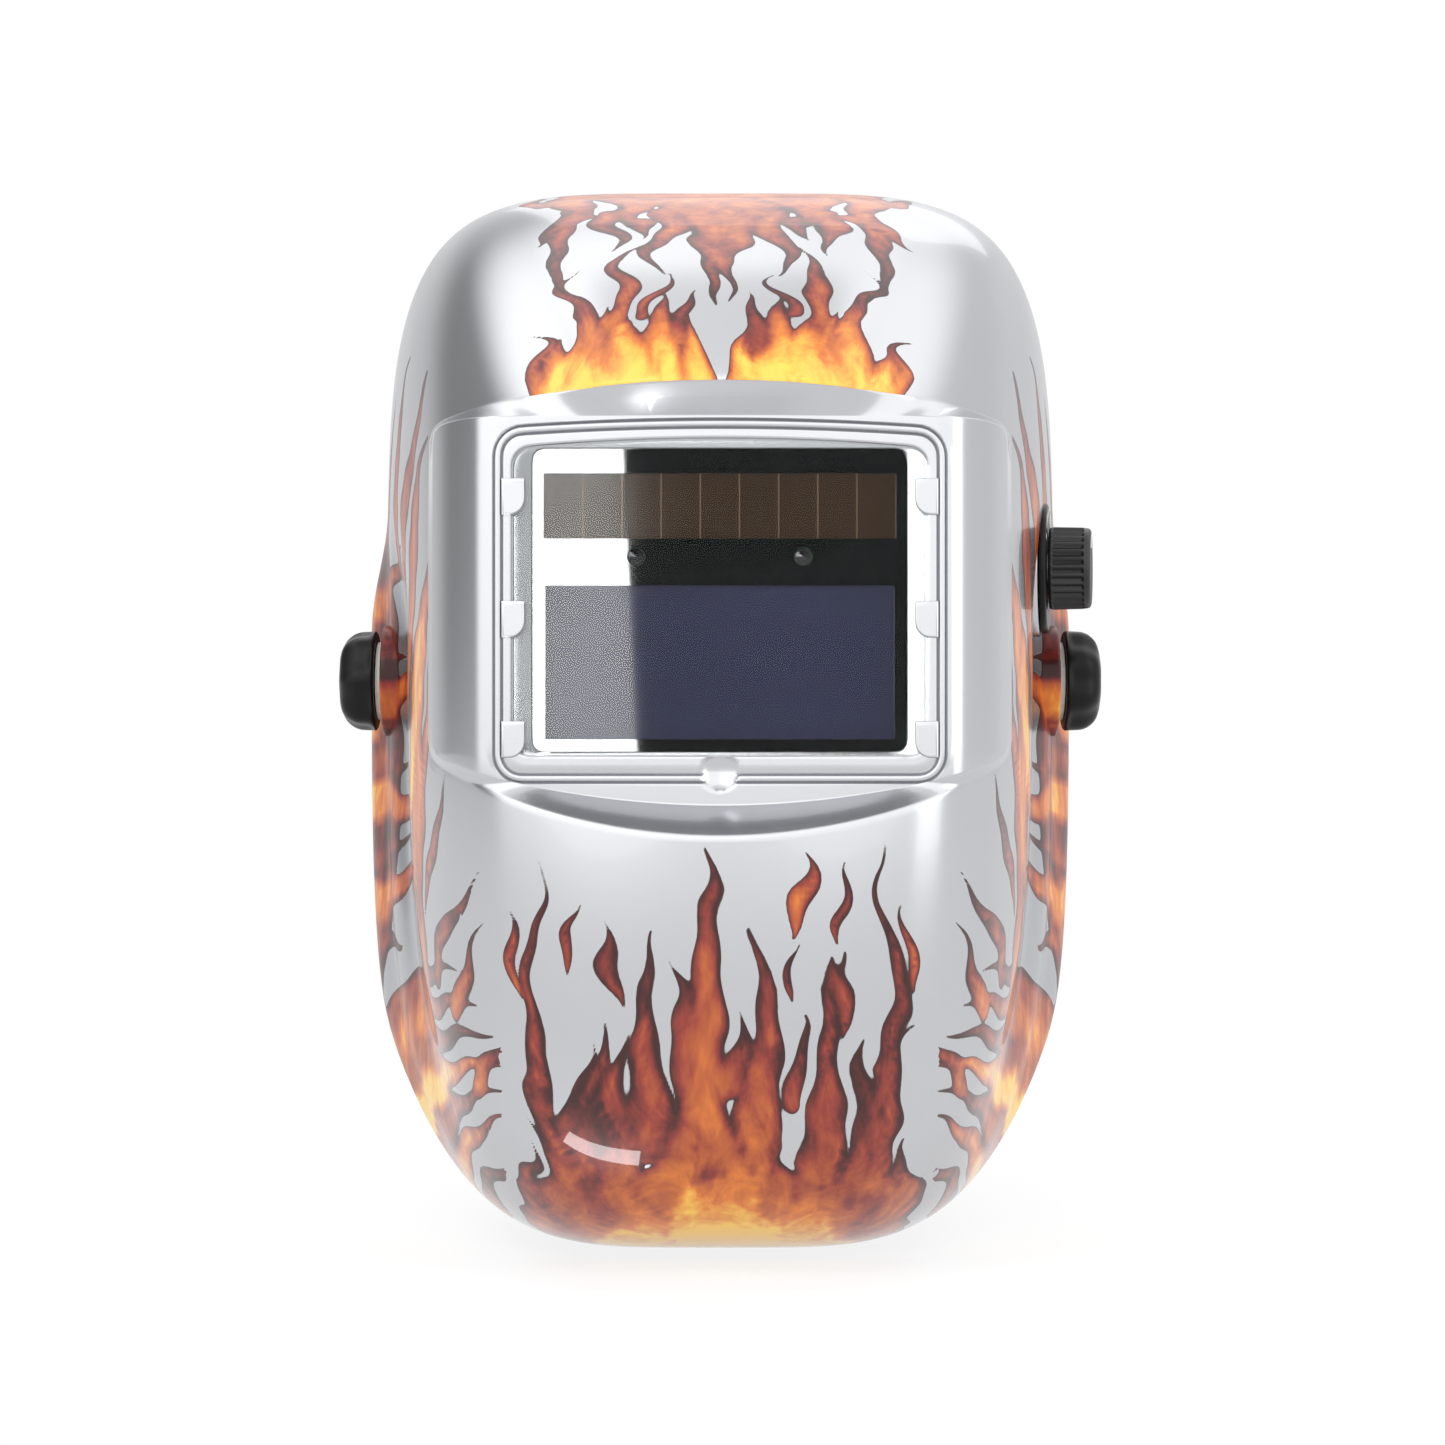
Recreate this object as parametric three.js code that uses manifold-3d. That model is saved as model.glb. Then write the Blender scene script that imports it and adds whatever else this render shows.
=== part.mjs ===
// Auto-darkening welding helmet: a lift-up shell on a ratchet headgear.
// Millimetres. X points to the viewer's right, Y to the back, Z up.
// The origin is the middle of the pivot axis that carries the shell.

import * as THREE from 'three';
import { mergeVertices } from 'three/addons/utils/BufferGeometryUtils.js';
import Module from 'manifold-3d';

const wasm = await Module();
wasm.setup();

// Clearances and overruns
const touch = 0.3; // between faces that rest on each other
const overrun = 1; // how far a cutter or a joined root runs past the face it meets

// Shell skin: cross-sections are superellipses, drawn in towards the front
const shell = {
  wall: 2.5,
  halfWidth: 102.2, // at the pivot
  sideFlareSlope: 0.24,
  crownHeight: 147.8, // at the pivot
  crownFlareSlope: 0.1,
  flareRun: 80, // length over which the flare straightens
  rowCrowding: 1.1, // above 1 gathers the skin's rows at its rear edge
  chinDrop: 162.5,
};
const cheek = { reach: 157, roundness: 6 };
const beyondCheek = { forehead: 18.5, jaw: 3 }; // how much further forward these would reach
const forehead = {
  reach: cheek.reach + beyondCheek.forehead,
  roundness: 2.5,
  squareness: 5,
  frontSquareness: 3.1,
  from: 25,
  over: 41,
};
const jaw = {
  reach: cheek.reach + beyondCheek.jaw,
  roundness: 5,
  squareness: 4.4,
  frontSquareness: 3.6,
  from: 10,
  over: 75,
};
const rim = { side: 45, crown: 30, chin: -105, jawAngle: 15, jawSweep: 70 };
const lip = { height: 5, ahead: 9, run: 6, halfLength: 62, slant: 10 };
const ear = {
  valleyDepth: 5,
  valleyAhead: 30,
  valleySweepRadius: 238,
  frontRun: 30,
  backRun: 15,
  flare: 5.2,
  flareStart: 30,
  flareRun: 26,
  top: 55,
  topFade: 40,
  bottom: 150,
  bottomFade: 60,
};

// Recessed window panel between the brow and chin ledges
const inset = { panel: 9, panelEdge: 21.8, panelRoll: 22.4 }; // from the cheek's reach and the shell's side
const panel = {
  ahead: cheek.reach - inset.panel,
  flatHalfWidth: shell.halfWidth - inset.panelEdge - inset.panelRoll,
  edgeHalfWidth: shell.halfWidth - inset.panelEdge,
  step: 1.6,
  rollPower: 2.2,
};
const brow = { edge: 77, drop: 8, ledge: 8.5, sideLedge: 1.2 };
const chin = { edge: -42.5, rise: 20, ledge: 7.7, sideLedge: 1.2 };

// Window frame and the seat of the cover lens
const frame = {
  halfWidth: 59.4,
  low: -28.2,
  high: 64.7,
  arch: 2.3,
  corner: 7,
  groove: 0.8,
};
const opening = { halfWidth: 55.3, low: -21.8, high: 60, arch: 2.6, corner: 5 };
const seat = { halfWidth: 50, low: -20.5, high: 60.2, corner: 3, behind: 4.8, thickness: 2 };
const tab = { inner: 51.6, outer: 57.9, height: 9.8, corner: 4.4, proud: 0.4 };
const tabHeights = [47, 14.5, -17.3];
const notch = { radius: 7, height: -25.5, ahead: 5.2 };
const coverLens = { thickness: 1.5 };

// Filter cartridge
const filter = { width: 110, height: 90, depth: 9, middle: 19.85, face: 1, wall: 1.6, frontDepth: 5 };
const bay = { clearance: 0.4, wall: 2, depth: 12, corner: 2 };
const shutter = { width: 93, height: 41, middle: 3.2, lap: 2 };
const solar = { width: 94, height: 17.4, middle: 44.9, lap: 1, thickness: 1 };
const sensor = { spread: 22.3, height: 31.4, radius: 2.2, dome: 0.6 };
const board = { width: 102, low: 26.5, high: 61, thickness: 1.2 };
const cell = { radius: 10, thickness: 3.2, spread: 38, height: 44 };
const sensitivity = { radius: 6.5, length: 3.6, x: -10, height: 44, shaftRadius: 2.2, grip: 1.2 };
const delay = { x: 13, height: 44, width: 5, tall: 4, proud: 2.2, travel: 3, foot: 1.2, footLap: 1.5 };
const innerLens = { width: 104, height: 47, thickness: 1 };
const retainer = { depth: 2.4, border: 5, bar: 6.5, viewLap: 1.5 };
const clip = { height: 14, thickness: 1.2, reach: 5, leg: 10 };

// Outside shade control on the right cheek
const control = { y: -35, z: 33, padRadius: 20.4, padRise: 0.8 };
const dial = { radius: 19.4, thickness: 2, bevel: 0.8 };
const shadeKnob = { radius: 12.3, length: 12.5, flutes: 20, fluteDepth: 0.7, chamfer: 1, cup: 8.5, cupDepth: 4.5 };
const pot = { radius: 8, depth: 7.2, bushRadius: 4.5, bore: 3.3, shaftRadius: 3, bushProud: 3.2 };
const potNut = { acrossFlats: 12, thickness: 2 };
const lead = {
  radius: 1.5,
  straight: 12,
  steps: 18,
  sides: 3,
  hole: 2.1,
  height: 50,
  behindFace: 4.5,
  cheekShares: [0.35, 0.7], // how far along the cheek its two middle points lie
  turnShare: { x: 0.5, y: 0.3 }, // how far from the bay to the cheek its last bend lies
};

// Pivot, worked out from the shell inwards
const pivot = { padRadius: 17, padRise: 1.2, bossDepth: 9.3, boltRadius: 4, boreRadius: 4.3 };
const frictionWasher = { radius: 14, thickness: 2 };
const outerWasher = { radius: 12, thickness: 1.5 };
const stopPlate = { radius: 13.5, thickness: 2, finger: 26, fingerWidth: 5, lift: 65 };
const peg = { distance: 22, radius: 3, base: 6, baseDepth: 5 };
const sideKnob = { radius: 15.5, length: 11.1, crown: 5, grips: 7, gripRadius: 9, gripDepth: 1, boreDepth: 7.5 };
const bracket = { thickness: 4, halfWidth: 22, top: 29, bottom: -14, bossRadius: 11, corner: 7, key: 4, keyDepth: 1.2 };
const boltHead = { size: 13, thickness: 2.4 };

// Headgear
const sideRoom = 22; // between the shell's half width and the band's
const band = {
  halfWidth: shell.halfWidth - sideRoom,
  halfLength: 96.5,
  middle: 3.5,
  thickness: 1.6,
  height: 28,
  level: 20,
  slope: 0.28,
  end: 128,
};
const sweat = {
  thickness: 7,
  height: 34,
  end: 68,
  endTaper: 3, // above 1, how quickly the ends fill out
  endThicknessShare: 0.3,
  endHeightShare: 0.7,
  sectionPower: 0.6, // below 1 squares up the oval section
};
const rivet = { y: 16, radius: 2, hole: 2.3, head: 4, headThickness: 1.3 };
const strap = { width: 20, thickness: 1.6, y: 35, top: 112, lap: 26, tuck: 10, hole: 2.6, pitch: 8, holes: 3 };
const stud = { radius: 2.2, head: 5, headThickness: 1.5 };

// Rear ratchet
const ratchet = {
  y: 93,
  level: -8,
  halfWidth: 36,
  height: 34,
  depth: 12,
  wall: 1.8,
  corner: 8,
  cover: 1.8,
  travel: 12,
};
const rearBand = {
  endX: 33,
  height: 13,
  startHeight: 24,
  mouth: 1.8,
  dropShare: 0.7, // how much of its drop is done where it bends
  taperShare: 0.8, // how much of its length the taper takes
};
const pinion = { teeth: 8, pitchRadius: 5, toothHalfHeight: 0.8, toothShare: 0.24, length: 5, bore: 1.6, shaft: 3.4 };
const rack = { height: 4, thickness: 3, reach: 14, toothShare: 0.24 };
const ratchetKnob = { radius: 23, length: 13, grips: 12, gripDepth: 1.4, cup: 17, cupDepth: 5, chamfer: 1.5 };
const screw = { radius: 1.3, head: 3, headThickness: 1.8 };
const detent = { radius: 14, thickness: 0.8, hole: 5, arm: 4 };
const nape = {
  halfWidth: 38,
  height: 36,
  thickness: 8,
  backShare: 0.96, // size of its flat back beside its widest ring
  waistShare: 0.03, // how far its sides are drawn in
  outlinePower: 0.55,
  crownPower: 0.45,
  risePower: 0.8,
};

// Colours and finishes
const finish = {
  silver: { color: 0xb9bdc2, roughness: 0.28, metalness: 0.6 },
  black: { color: 0x17181a, roughness: 0.42, metalness: 0 },
  darkGrey: { color: 0x2c2e31, roughness: 0.6, metalness: 0 },
  clear: { color: 0xdfe8ee, roughness: 0.05, metalness: 0, transparent: true, opacity: 0.35 },
  glass: { color: 0x3a3d58, roughness: 0.06, metalness: 0.1 },
  cells: { color: 0x4a3a33, roughness: 0.25, metalness: 0.1 },
  green: { color: 0x1f5a38, roughness: 0.5, metalness: 0 },
  steel: { color: 0xa9abad, roughness: 0.35, metalness: 1 },
  nylon: { color: 0xd8d6cf, roughness: 0.5, metalness: 0 },
  fabric: { color: 0x202226, roughness: 0.95, metalness: 0 },
};

// Small maths
const half = (size) => size / 2;
const toRadians = (degrees) => THREE.MathUtils.degToRad(degrees);
const mix = (a, b, share) => a + (b - a) * share;
const clamp = (t) => Math.min(1, Math.max(0, t));
const smooth = (t) => clamp(t) ** 2 * (3 - 2 * clamp(t));

// Largest distance from the pivot axis, along an angle, at which a test still holds
function reachOf(angle, inside) {
  let low = 0;
  let high = shell.chinDrop + shell.crownHeight;
  for (let i = 0; i < 48; i += 1) {
    const middle = half(low + high);
    if (inside(middle * Math.cos(angle), middle * Math.sin(angle))) low = middle;
    else high = middle;
  }
  return low;
}

// How far the flare has moved a section from its size at the pivot
const lean = (y) => half(y - Math.hypot(y, shell.flareRun) + shell.flareRun);

// Depth of the rear rim at an angle above the horizontal
function rimDepth(angle) {
  const degrees = THREE.MathUtils.radToDeg(Math.atan2(Math.sin(angle), Math.abs(Math.cos(angle))));
  const below = smooth((-degrees - rim.jawAngle) / rim.jawSweep);
  const above = smooth(degrees / 90);
  return rim.side + (rim.chin - rim.side) * below + (rim.crown - rim.side) * above;
}

// Scoop ahead of each ear and the flared pad behind it
function earOffset(z, y) {
  const below = Math.min(0, z);
  const behind = y + ear.valleyAhead + below ** 2 / ear.valleySweepRadius;
  const run = behind < 0 ? ear.frontRun : ear.backRun;
  const fade = smooth((ear.top - z) / ear.topFade) * smooth((z + ear.bottom) / ear.bottomFade);
  const scoop = ear.valleyDepth * Math.exp(-((behind / run) ** 2));
  return fade * (ear.flare * smooth((behind - ear.flareStart) / ear.flareRun) - scoop);
}

// Raised lip along the rear edge of the crown
function lipOffset(x, y, angle) {
  if (Math.sin(angle) < 0) return 0;
  const ends = 1 - smooth((Math.abs(x) - lip.halfLength) / lip.slant);
  return lip.height * ends * smooth((y - rimDepth(angle) + lip.ahead) / lip.run);
}

// How much of the forehead or jaw form an angle has, and how far forward the skin reaches there
function frontOf(angle) {
  const end = Math.sin(angle) > 0 ? forehead : jaw;
  const degrees = THREE.MathUtils.radToDeg(Math.asin(Math.abs(Math.sin(angle))));
  const share = smooth((degrees - end.from) / end.over);
  return { end, share, reach: mix(cheek.reach, end.reach, share) };
}

// Radius of the outer skin about the front-to-back axis
function skinRadius(angle, y) {
  const across = Math.abs(Math.cos(angle));
  const upward = Math.abs(Math.sin(angle));
  const width = shell.halfWidth + shell.sideFlareSlope * lean(y);
  const height = Math.sin(angle) > 0 ? shell.crownHeight + shell.crownFlareSlope * lean(y) : shell.chinDrop;
  const { end, share, reach } = frontOf(angle);
  const squareness = mix(end.squareness, end.frontSquareness, clamp(-y / reach) ** 2);
  const section = ((across / width) ** squareness + (upward / height) ** squareness) ** (-1 / squareness);
  const roundness = mix(cheek.roundness, end.roundness, share);
  const radius = section * (1 - clamp(-y / reach) ** roundness) ** (1 / roundness);
  return radius + earOffset(radius * Math.sin(angle), y) + lipOffset(radius * across, y, angle);
}

const skinPoint = (angle, y) => {
  const radius = skinRadius(angle, y);
  return new THREE.Vector3(radius * Math.cos(angle), y, radius * Math.sin(angle));
};

// Half width of the skin at a depth and height
function skinX(y, z) {
  let x = shell.halfWidth;
  for (let i = 0; i < 24; i += 1) {
    const angle = Math.atan2(z, x);
    x = skinRadius(angle, y) * Math.cos(angle);
  }
  return x;
}

// Depth at which the skin has a given radius
function skinDepth(angle, radius) {
  let front = -frontOf(angle).reach;
  let back = rimDepth(angle);
  for (let i = 0; i < 48; i += 1) {
    const middle = half(front + back);
    if (skinRadius(angle, middle) < radius) front = middle;
    else back = middle;
  }
  return back;
}

// Ledge lines, as tests of a point in the front view
const sideShare = (x) => Math.min(1, (x / panel.edgeHalfWidth) ** 2);
const browEdge = (x) => brow.edge - brow.drop * sideShare(x);
const chinEdge = (x) => chin.edge + chin.rise * sideShare(x);
const browFoot = (x) => browEdge(x) - mix(brow.ledge, brow.sideLedge, sideShare(x));
const chinFoot = (x) => chinEdge(x) + mix(chin.ledge, chin.sideLedge, sideShare(x));
const insideEdge = (x, z) => z < browEdge(x) && z > chinEdge(x) && Math.abs(x) < panel.edgeHalfWidth;
const footHalfWidth = panel.edgeHalfWidth - panel.step;
const insideFoot = (x, z) => z < browFoot(x) && z > chinFoot(x) && Math.abs(x) < footHalfWidth;

// The panel is flat round the window and rolls back to meet the cheeks
const windowMiddle = half(opening.low + opening.high);
const cheekAngle = Math.atan2(windowMiddle, panel.edgeHalfWidth);
const cheekDepth = skinDepth(cheekAngle, Math.hypot(windowMiddle, panel.edgeHalfWidth));
function panelDepth(x) {
  const share = Math.max(0, Math.abs(x) - panel.flatHalfWidth) / (footHalfWidth - panel.flatHalfWidth);
  return -panel.ahead + (cheekDepth + panel.ahead) * share ** panel.rollPower;
}

// A rounded window outline with an arched top, as a test of a point
function windowTest({ halfWidth, low, high, arch = 0, corner }, inset = 0) {
  return (x, z) => {
    const top = high + arch * (1 - (x / halfWidth) ** 2) - inset;
    const bottom = low + inset;
    const radius = Math.max(corner - inset, touch);
    const beyondX = Math.abs(x) - halfWidth + inset + radius;
    const beyondZ = Math.abs(z - half(top + bottom)) - half(top - bottom) + radius;
    if (beyondX > 0 && beyondZ > 0) return Math.hypot(beyondX, beyondZ) < radius;
    return Math.max(beyondX, beyondZ) < radius;
  };
}

// Angles of the shell's columns: closer together at the corners of the window
function columnAngles() {
  const lowCorner = Math.atan2(opening.low, opening.halfWidth);
  const highCorner = Math.atan2(opening.high, opening.halfWidth);
  const lowEnd = Math.atan2(chinEdge(panel.edgeHalfWidth), panel.edgeHalfWidth);
  const highEnd = Math.atan2(browEdge(panel.edgeHalfWidth), panel.edgeHalfWidth);
  const stops = [-half(Math.PI), 2 * lowCorner - lowEnd, lowEnd, highEnd, 2 * highCorner - highEnd, half(Math.PI)];
  const counts = [7, 4, 7, 4, 5];
  const right = [stops[0]];
  counts.forEach((count, i) => {
    for (let k = 1; k <= count; k += 1) right.push(mix(stops[i], stops[i + 1], k / count));
  });
  const left = right.slice(1, -1).reverse().map((angle) => Math.PI - angle);
  return [...right, ...left];
}

// Geometry from a grid of points that closes on itself both ways
function gridGeometry(rows) {
  const columns = rows[0].length;
  const positions = rows.flat().flatMap((point) => point.toArray());
  const index = [];
  rows.forEach((row, r) => {
    const below = ((r + 1) % rows.length) * columns;
    for (let c = 0; c < columns; c += 1) {
      const next = (c + 1) % columns;
      index.push(r * columns + c, r * columns + next, below + c);
      index.push(r * columns + next, below + next, below + c);
    }
  });
  const geometry = new THREE.BufferGeometry();
  geometry.setAttribute('position', new THREE.Float32BufferAttribute(positions, 3));
  geometry.setIndex(index);
  return outward(geometry);
}

// Merged geometry with no collapsed faces, turned so that its faces point out
function outward(source) {
  const bare = source.clone();
  bare.deleteAttribute('normal');
  bare.deleteAttribute('uv');
  const merged = mergeVertices(bare, 1e-4);
  const old = merged.getIndex().array;
  const place = merged.getAttribute('position');
  const corner = [new THREE.Vector3(), new THREE.Vector3(), new THREE.Vector3()];
  const kept = [];
  let volume = 0;
  for (let i = 0; i < old.length; i += 3) {
    const [a, b, c] = [old[i], old[i + 1], old[i + 2]];
    if (a !== b && b !== c && c !== a) {
      kept.push(a, b, c);
      [a, b, c].forEach((vertex, k) => corner[k].fromBufferAttribute(place, vertex));
      volume += corner[0].dot(corner[1].clone().cross(corner[2]));
    }
  }
  if (volume < 0) {
    for (let i = 0; i < kept.length; i += 3) [kept[i], kept[i + 1]] = [kept[i + 1], kept[i]];
  }
  merged.setIndex(kept);
  return merged;
}

// Joining and cutting
function solidOf(geometry) {
  const closed = outward(geometry);
  return new wasm.Manifold(new wasm.Mesh({
    numProp: 3,
    vertProperties: new Float32Array(closed.getAttribute('position').array),
    triVerts: new Uint32Array(closed.getIndex().array),
  }));
}

function geometryOf(solid) {
  const mesh = solid.getMesh();
  const geometry = new THREE.BufferGeometry();
  geometry.setAttribute('position', new THREE.BufferAttribute(new Float32Array(mesh.vertProperties), 3));
  geometry.setIndex(new THREE.BufferAttribute(new Uint32Array(mesh.triVerts), 1));
  return geometry;
}

const joined = (base, ...added) => geometryOf(added.reduce((sum, next) => sum.add(solidOf(next)), solidOf(base)));
const cutBy = (base, ...cutters) => geometryOf(
  cutters.reduce((rest, next) => rest.subtract(solidOf(next)), solidOf(base)),
);

// The other hand of a piece
function mirrored(geometry) {
  return outward(geometry.clone().scale(-1, 1, 1));
}

// Basic bodies
function block([x0, x1], [y0, y1], [z0, z1]) {
  const geometry = new THREE.BoxGeometry(x1 - x0, y1 - y0, z1 - z0);
  return geometry.translate(half(x0 + x1), half(y0 + y1), half(z0 + z1));
}

// A body turned about an axis: each profile point is [distance along the axis, radius]
function turned(profile, origin, axis, segments = 32) {
  const points = profile.map(([along, radius]) => new THREE.Vector2(radius, along));
  const geometry = new THREE.LatheGeometry(points, segments);
  const turn = new THREE.Quaternion().setFromUnitVectors(new THREE.Vector3(0, 1, 0), axis.clone().normalize());
  geometry.applyQuaternion(turn);
  return outward(geometry.translate(origin.x, origin.y, origin.z));
}

const rod = (radius, from, to, origin, axis, segments = 16) => turned(
  [[from, 0], [from, radius], [to, radius], [to, 0]],
  origin,
  axis,
  segments,
);

const ring = (inner, outer, from, to, origin, axis, segments = 20) => turned(
  [[from, inner], [from, outer], [to, outer], [to, inner], [from, inner]],
  origin,
  axis,
  segments,
);

// A front-view outline carried from one depth to another
function frontPlate(shape, front, back, curveSegments = 6) {
  const geometry = new THREE.ExtrudeGeometry(shape, { depth: back - front, bevelEnabled: false, curveSegments });
  geometry.rotateX(half(Math.PI));
  return geometry.translate(0, back, 0);
}

// A side-view outline (Y across, Z up) carried from one X to another
function sidePlate(shape, inner, outer, curveSegments = 6) {
  const geometry = new THREE.ExtrudeGeometry(shape, { depth: outer - inner, bevelEnabled: false, curveSegments });
  const turn = new THREE.Matrix4().makeBasis(
    new THREE.Vector3(0, 1, 0),
    new THREE.Vector3(0, 0, 1),
    new THREE.Vector3(1, 0, 0),
  );
  geometry.applyMatrix4(turn);
  return geometry.translate(inner, 0, 0);
}

function roundedRectangle([x0, x1], [z0, z1], radius, outline = new THREE.Shape()) {
  outline.moveTo(x0 + radius, z0);
  outline.lineTo(x1 - radius, z0);
  outline.absarc(x1 - radius, z0 + radius, radius, -half(Math.PI), 0, false);
  outline.lineTo(x1, z1 - radius);
  outline.absarc(x1 - radius, z1 - radius, radius, 0, half(Math.PI), false);
  outline.lineTo(x0 + radius, z1);
  outline.absarc(x0 + radius, z1 - radius, radius, half(Math.PI), Math.PI, false);
  outline.lineTo(x0, z0 + radius);
  outline.absarc(x0 + radius, z0 + radius, radius, Math.PI, 1.5 * Math.PI, false);
  outline.closePath();
  return outline;
}

const around = (middle, size) => [middle - half(size), middle + half(size)];

// Axes and centres
const right = new THREE.Vector3(1, 0, 0);
const backward = new THREE.Vector3(0, 1, 0);
const centre = new THREE.Vector3(0, 0, 0);

// Depths of the window stack, from the panel back
const grooveDepth = -panel.ahead + frame.groove;
const seatFront = -panel.ahead + seat.behind;
const seatBack = seatFront + seat.thickness;
const lensBack = seatFront - touch;
const lensFront = lensBack - coverLens.thickness;
const caseFront = seatBack + touch;
const caseBack = caseFront + filter.depth;
const bayBack = seatBack + bay.depth;
const innerLensFront = caseBack + touch;
const innerLensBack = innerLensFront + innerLens.thickness;
const retainerFront = innerLensBack + touch;
const retainerBack = retainerFront + retainer.depth;
const bayHalf = { x: half(filter.width) + bay.clearance, z: half(filter.height) + bay.clearance };

// X positions of the right pivot, from the shell's outer pad inwards
const padX = skinX(0, 0) + pivot.padRise;
const innerPadX = padX - pivot.bossDepth;
const frictionX = innerPadX - touch - frictionWasher.thickness;
const stopX = frictionX - touch - stopPlate.thickness;
const bossEndX = stopX - touch;
const bracketX = band.halfWidth + half(band.thickness) + touch;
const bracketFaceX = bracketX + bracket.thickness;
const washerX = padX + touch;
const knobX = washerX + outerWasher.thickness + touch;
const boltHeadX = bracketX + touch;

// Shade control axis: square to the skin at its centre
const controlPoint = new THREE.Vector3(skinX(control.y, control.z), control.y, control.z);
const controlSlope = (skinX(control.y + overrun, control.z) - skinX(control.y - overrun, control.z)) / (2 * overrun);
const controlAxis = new THREE.Vector3(1, -controlSlope, 0).normalize();
const controlForward = new THREE.Vector3(-controlSlope, -1, 0).normalize();

// Where the control lead goes through the wall of the cartridge bay
const leadDoor = new THREE.Vector3(bayHalf.x, caseFront + lead.behindFace, lead.height);

// The shell

function shellRows() {
  const angles = columnAngles();
  const bodyCount = 7;
  const edgeRadius = angles.map((angle) => reachOf(angle, insideEdge));
  const edgeDepth = angles.map((angle, i) => skinDepth(angle, edgeRadius[i]));
  const bodyRow = (ahead, share) => angles.map((angle, i) => {
    const start = rimDepth(angle) - ahead;
    return skinPoint(angle, mix(start, edgeDepth[i], Math.sin(half(share * Math.PI)) ** shell.rowCrowding));
  });
  const flat = (angle, radius, y) => new THREE.Vector3(
    radius * Math.cos(angle),
    y ?? panelDepth(radius * Math.cos(angle)),
    radius * Math.sin(angle),
  );
  const footRadius = angles.map((angle) => reachOf(angle, insideFoot));
  const windowRow = (test, y) => angles.map((angle) => flat(angle, reachOf(angle, test), y));
  const frameRadius = angles.map((angle) => reachOf(angle, windowTest(frame)));

  const outer = [bodyRow(0, 0), bodyRow(lip.ahead - lip.run, 0), bodyRow(lip.ahead, 0)];
  for (let k = 1; k < bodyCount; k += 1) outer.push(bodyRow(lip.ahead, k / bodyCount));
  outer.push(bodyRow(lip.ahead, 1));
  outer.push(angles.map((angle, i) => flat(angle, footRadius[i])));
  const panelShares = [0.35, 0.7];
  panelShares.forEach((share) => {
    outer.push(angles.map((angle, i) => flat(angle, mix(footRadius[i], frameRadius[i], share))));
  });
  outer.push(angles.map((angle, i) => flat(angle, frameRadius[i])));

  const bayOutline = {
    halfWidth: bayHalf.x,
    low: filter.middle - bayHalf.z,
    high: filter.middle + bayHalf.z,
    corner: bay.corner,
  };
  const innerPanel = -panel.ahead + shell.wall;
  const inner = innerSkin(outer.slice(0, -1));
  const window = [
    windowRow(windowTest(frame, frame.groove), grooveDepth),
    windowRow(windowTest(opening), grooveDepth),
    windowRow(windowTest(opening), seatFront),
    windowRow(windowTest(seat), seatFront),
    windowRow(windowTest(seat), bayBack),
    windowRow(windowTest(bayOutline, -bay.wall), bayBack),
    windowRow(windowTest(bayOutline, -bay.wall), innerPanel),
  ];
  return [...outer, ...window, ...inner.reverse()];
}

// The inside of the skin: each grid point moved in by the wall along the skin's normal
function innerSkin(rows) {
  const columns = rows[0].length;
  const normals = new Map();
  const key = (point) => point.toArray().map((value) => value.toFixed(3)).join();
  const face = (a, b, c) => {
    const normal = b.clone().sub(a).cross(c.clone().sub(a));
    [a, b, c].forEach((point) => {
      const sum = normals.get(key(point)) ?? new THREE.Vector3();
      normals.set(key(point), sum.add(normal));
    });
  };
  for (let r = 0; r + 1 < rows.length; r += 1) {
    for (let c = 0; c < columns; c += 1) {
      const next = (c + 1) % columns;
      face(rows[r][c], rows[r][next], rows[r + 1][c]);
      face(rows[r][next], rows[r + 1][next], rows[r + 1][c]);
    }
  }
  return rows.map((row) => row.map((point) => {
    const normal = normals.get(key(point)).clone().normalize();
    if (normal.dot(new THREE.Vector3(point.x, point.y, point.z)) < 0) normal.negate();
    return point.clone().addScaledVector(normal, -shell.wall);
  }));
}

function lensTab(height) {
  const outline = new THREE.Shape();
  const low = height - half(tab.height);
  const high = height + half(tab.height);
  outline.moveTo(tab.outer, low);
  outline.lineTo(tab.outer, high);
  outline.lineTo(tab.inner, high);
  outline.lineTo(tab.inner, low + tab.corner);
  outline.absarc(tab.inner + tab.corner, low + tab.corner, tab.corner, Math.PI, 1.5 * Math.PI, false);
  outline.closePath();
  return frontPlate(outline, grooveDepth - tab.proud, lensFront - touch, 3);
}

function stopPeg() {
  const rootX = skinX(peg.distance, 0) - half(shell.wall);
  const profile = [
    [stopX + touch, 0],
    [stopX + touch, peg.radius],
    [rootX - peg.baseDepth, peg.radius],
    [rootX, peg.base],
    [rootX, 0],
  ];
  return turned(profile, new THREE.Vector3(0, peg.distance, 0), right, 12);
}

function pivotBoss() {
  return rod(pivot.padRadius, innerPadX, padX, centre, right, 24);
}

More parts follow.
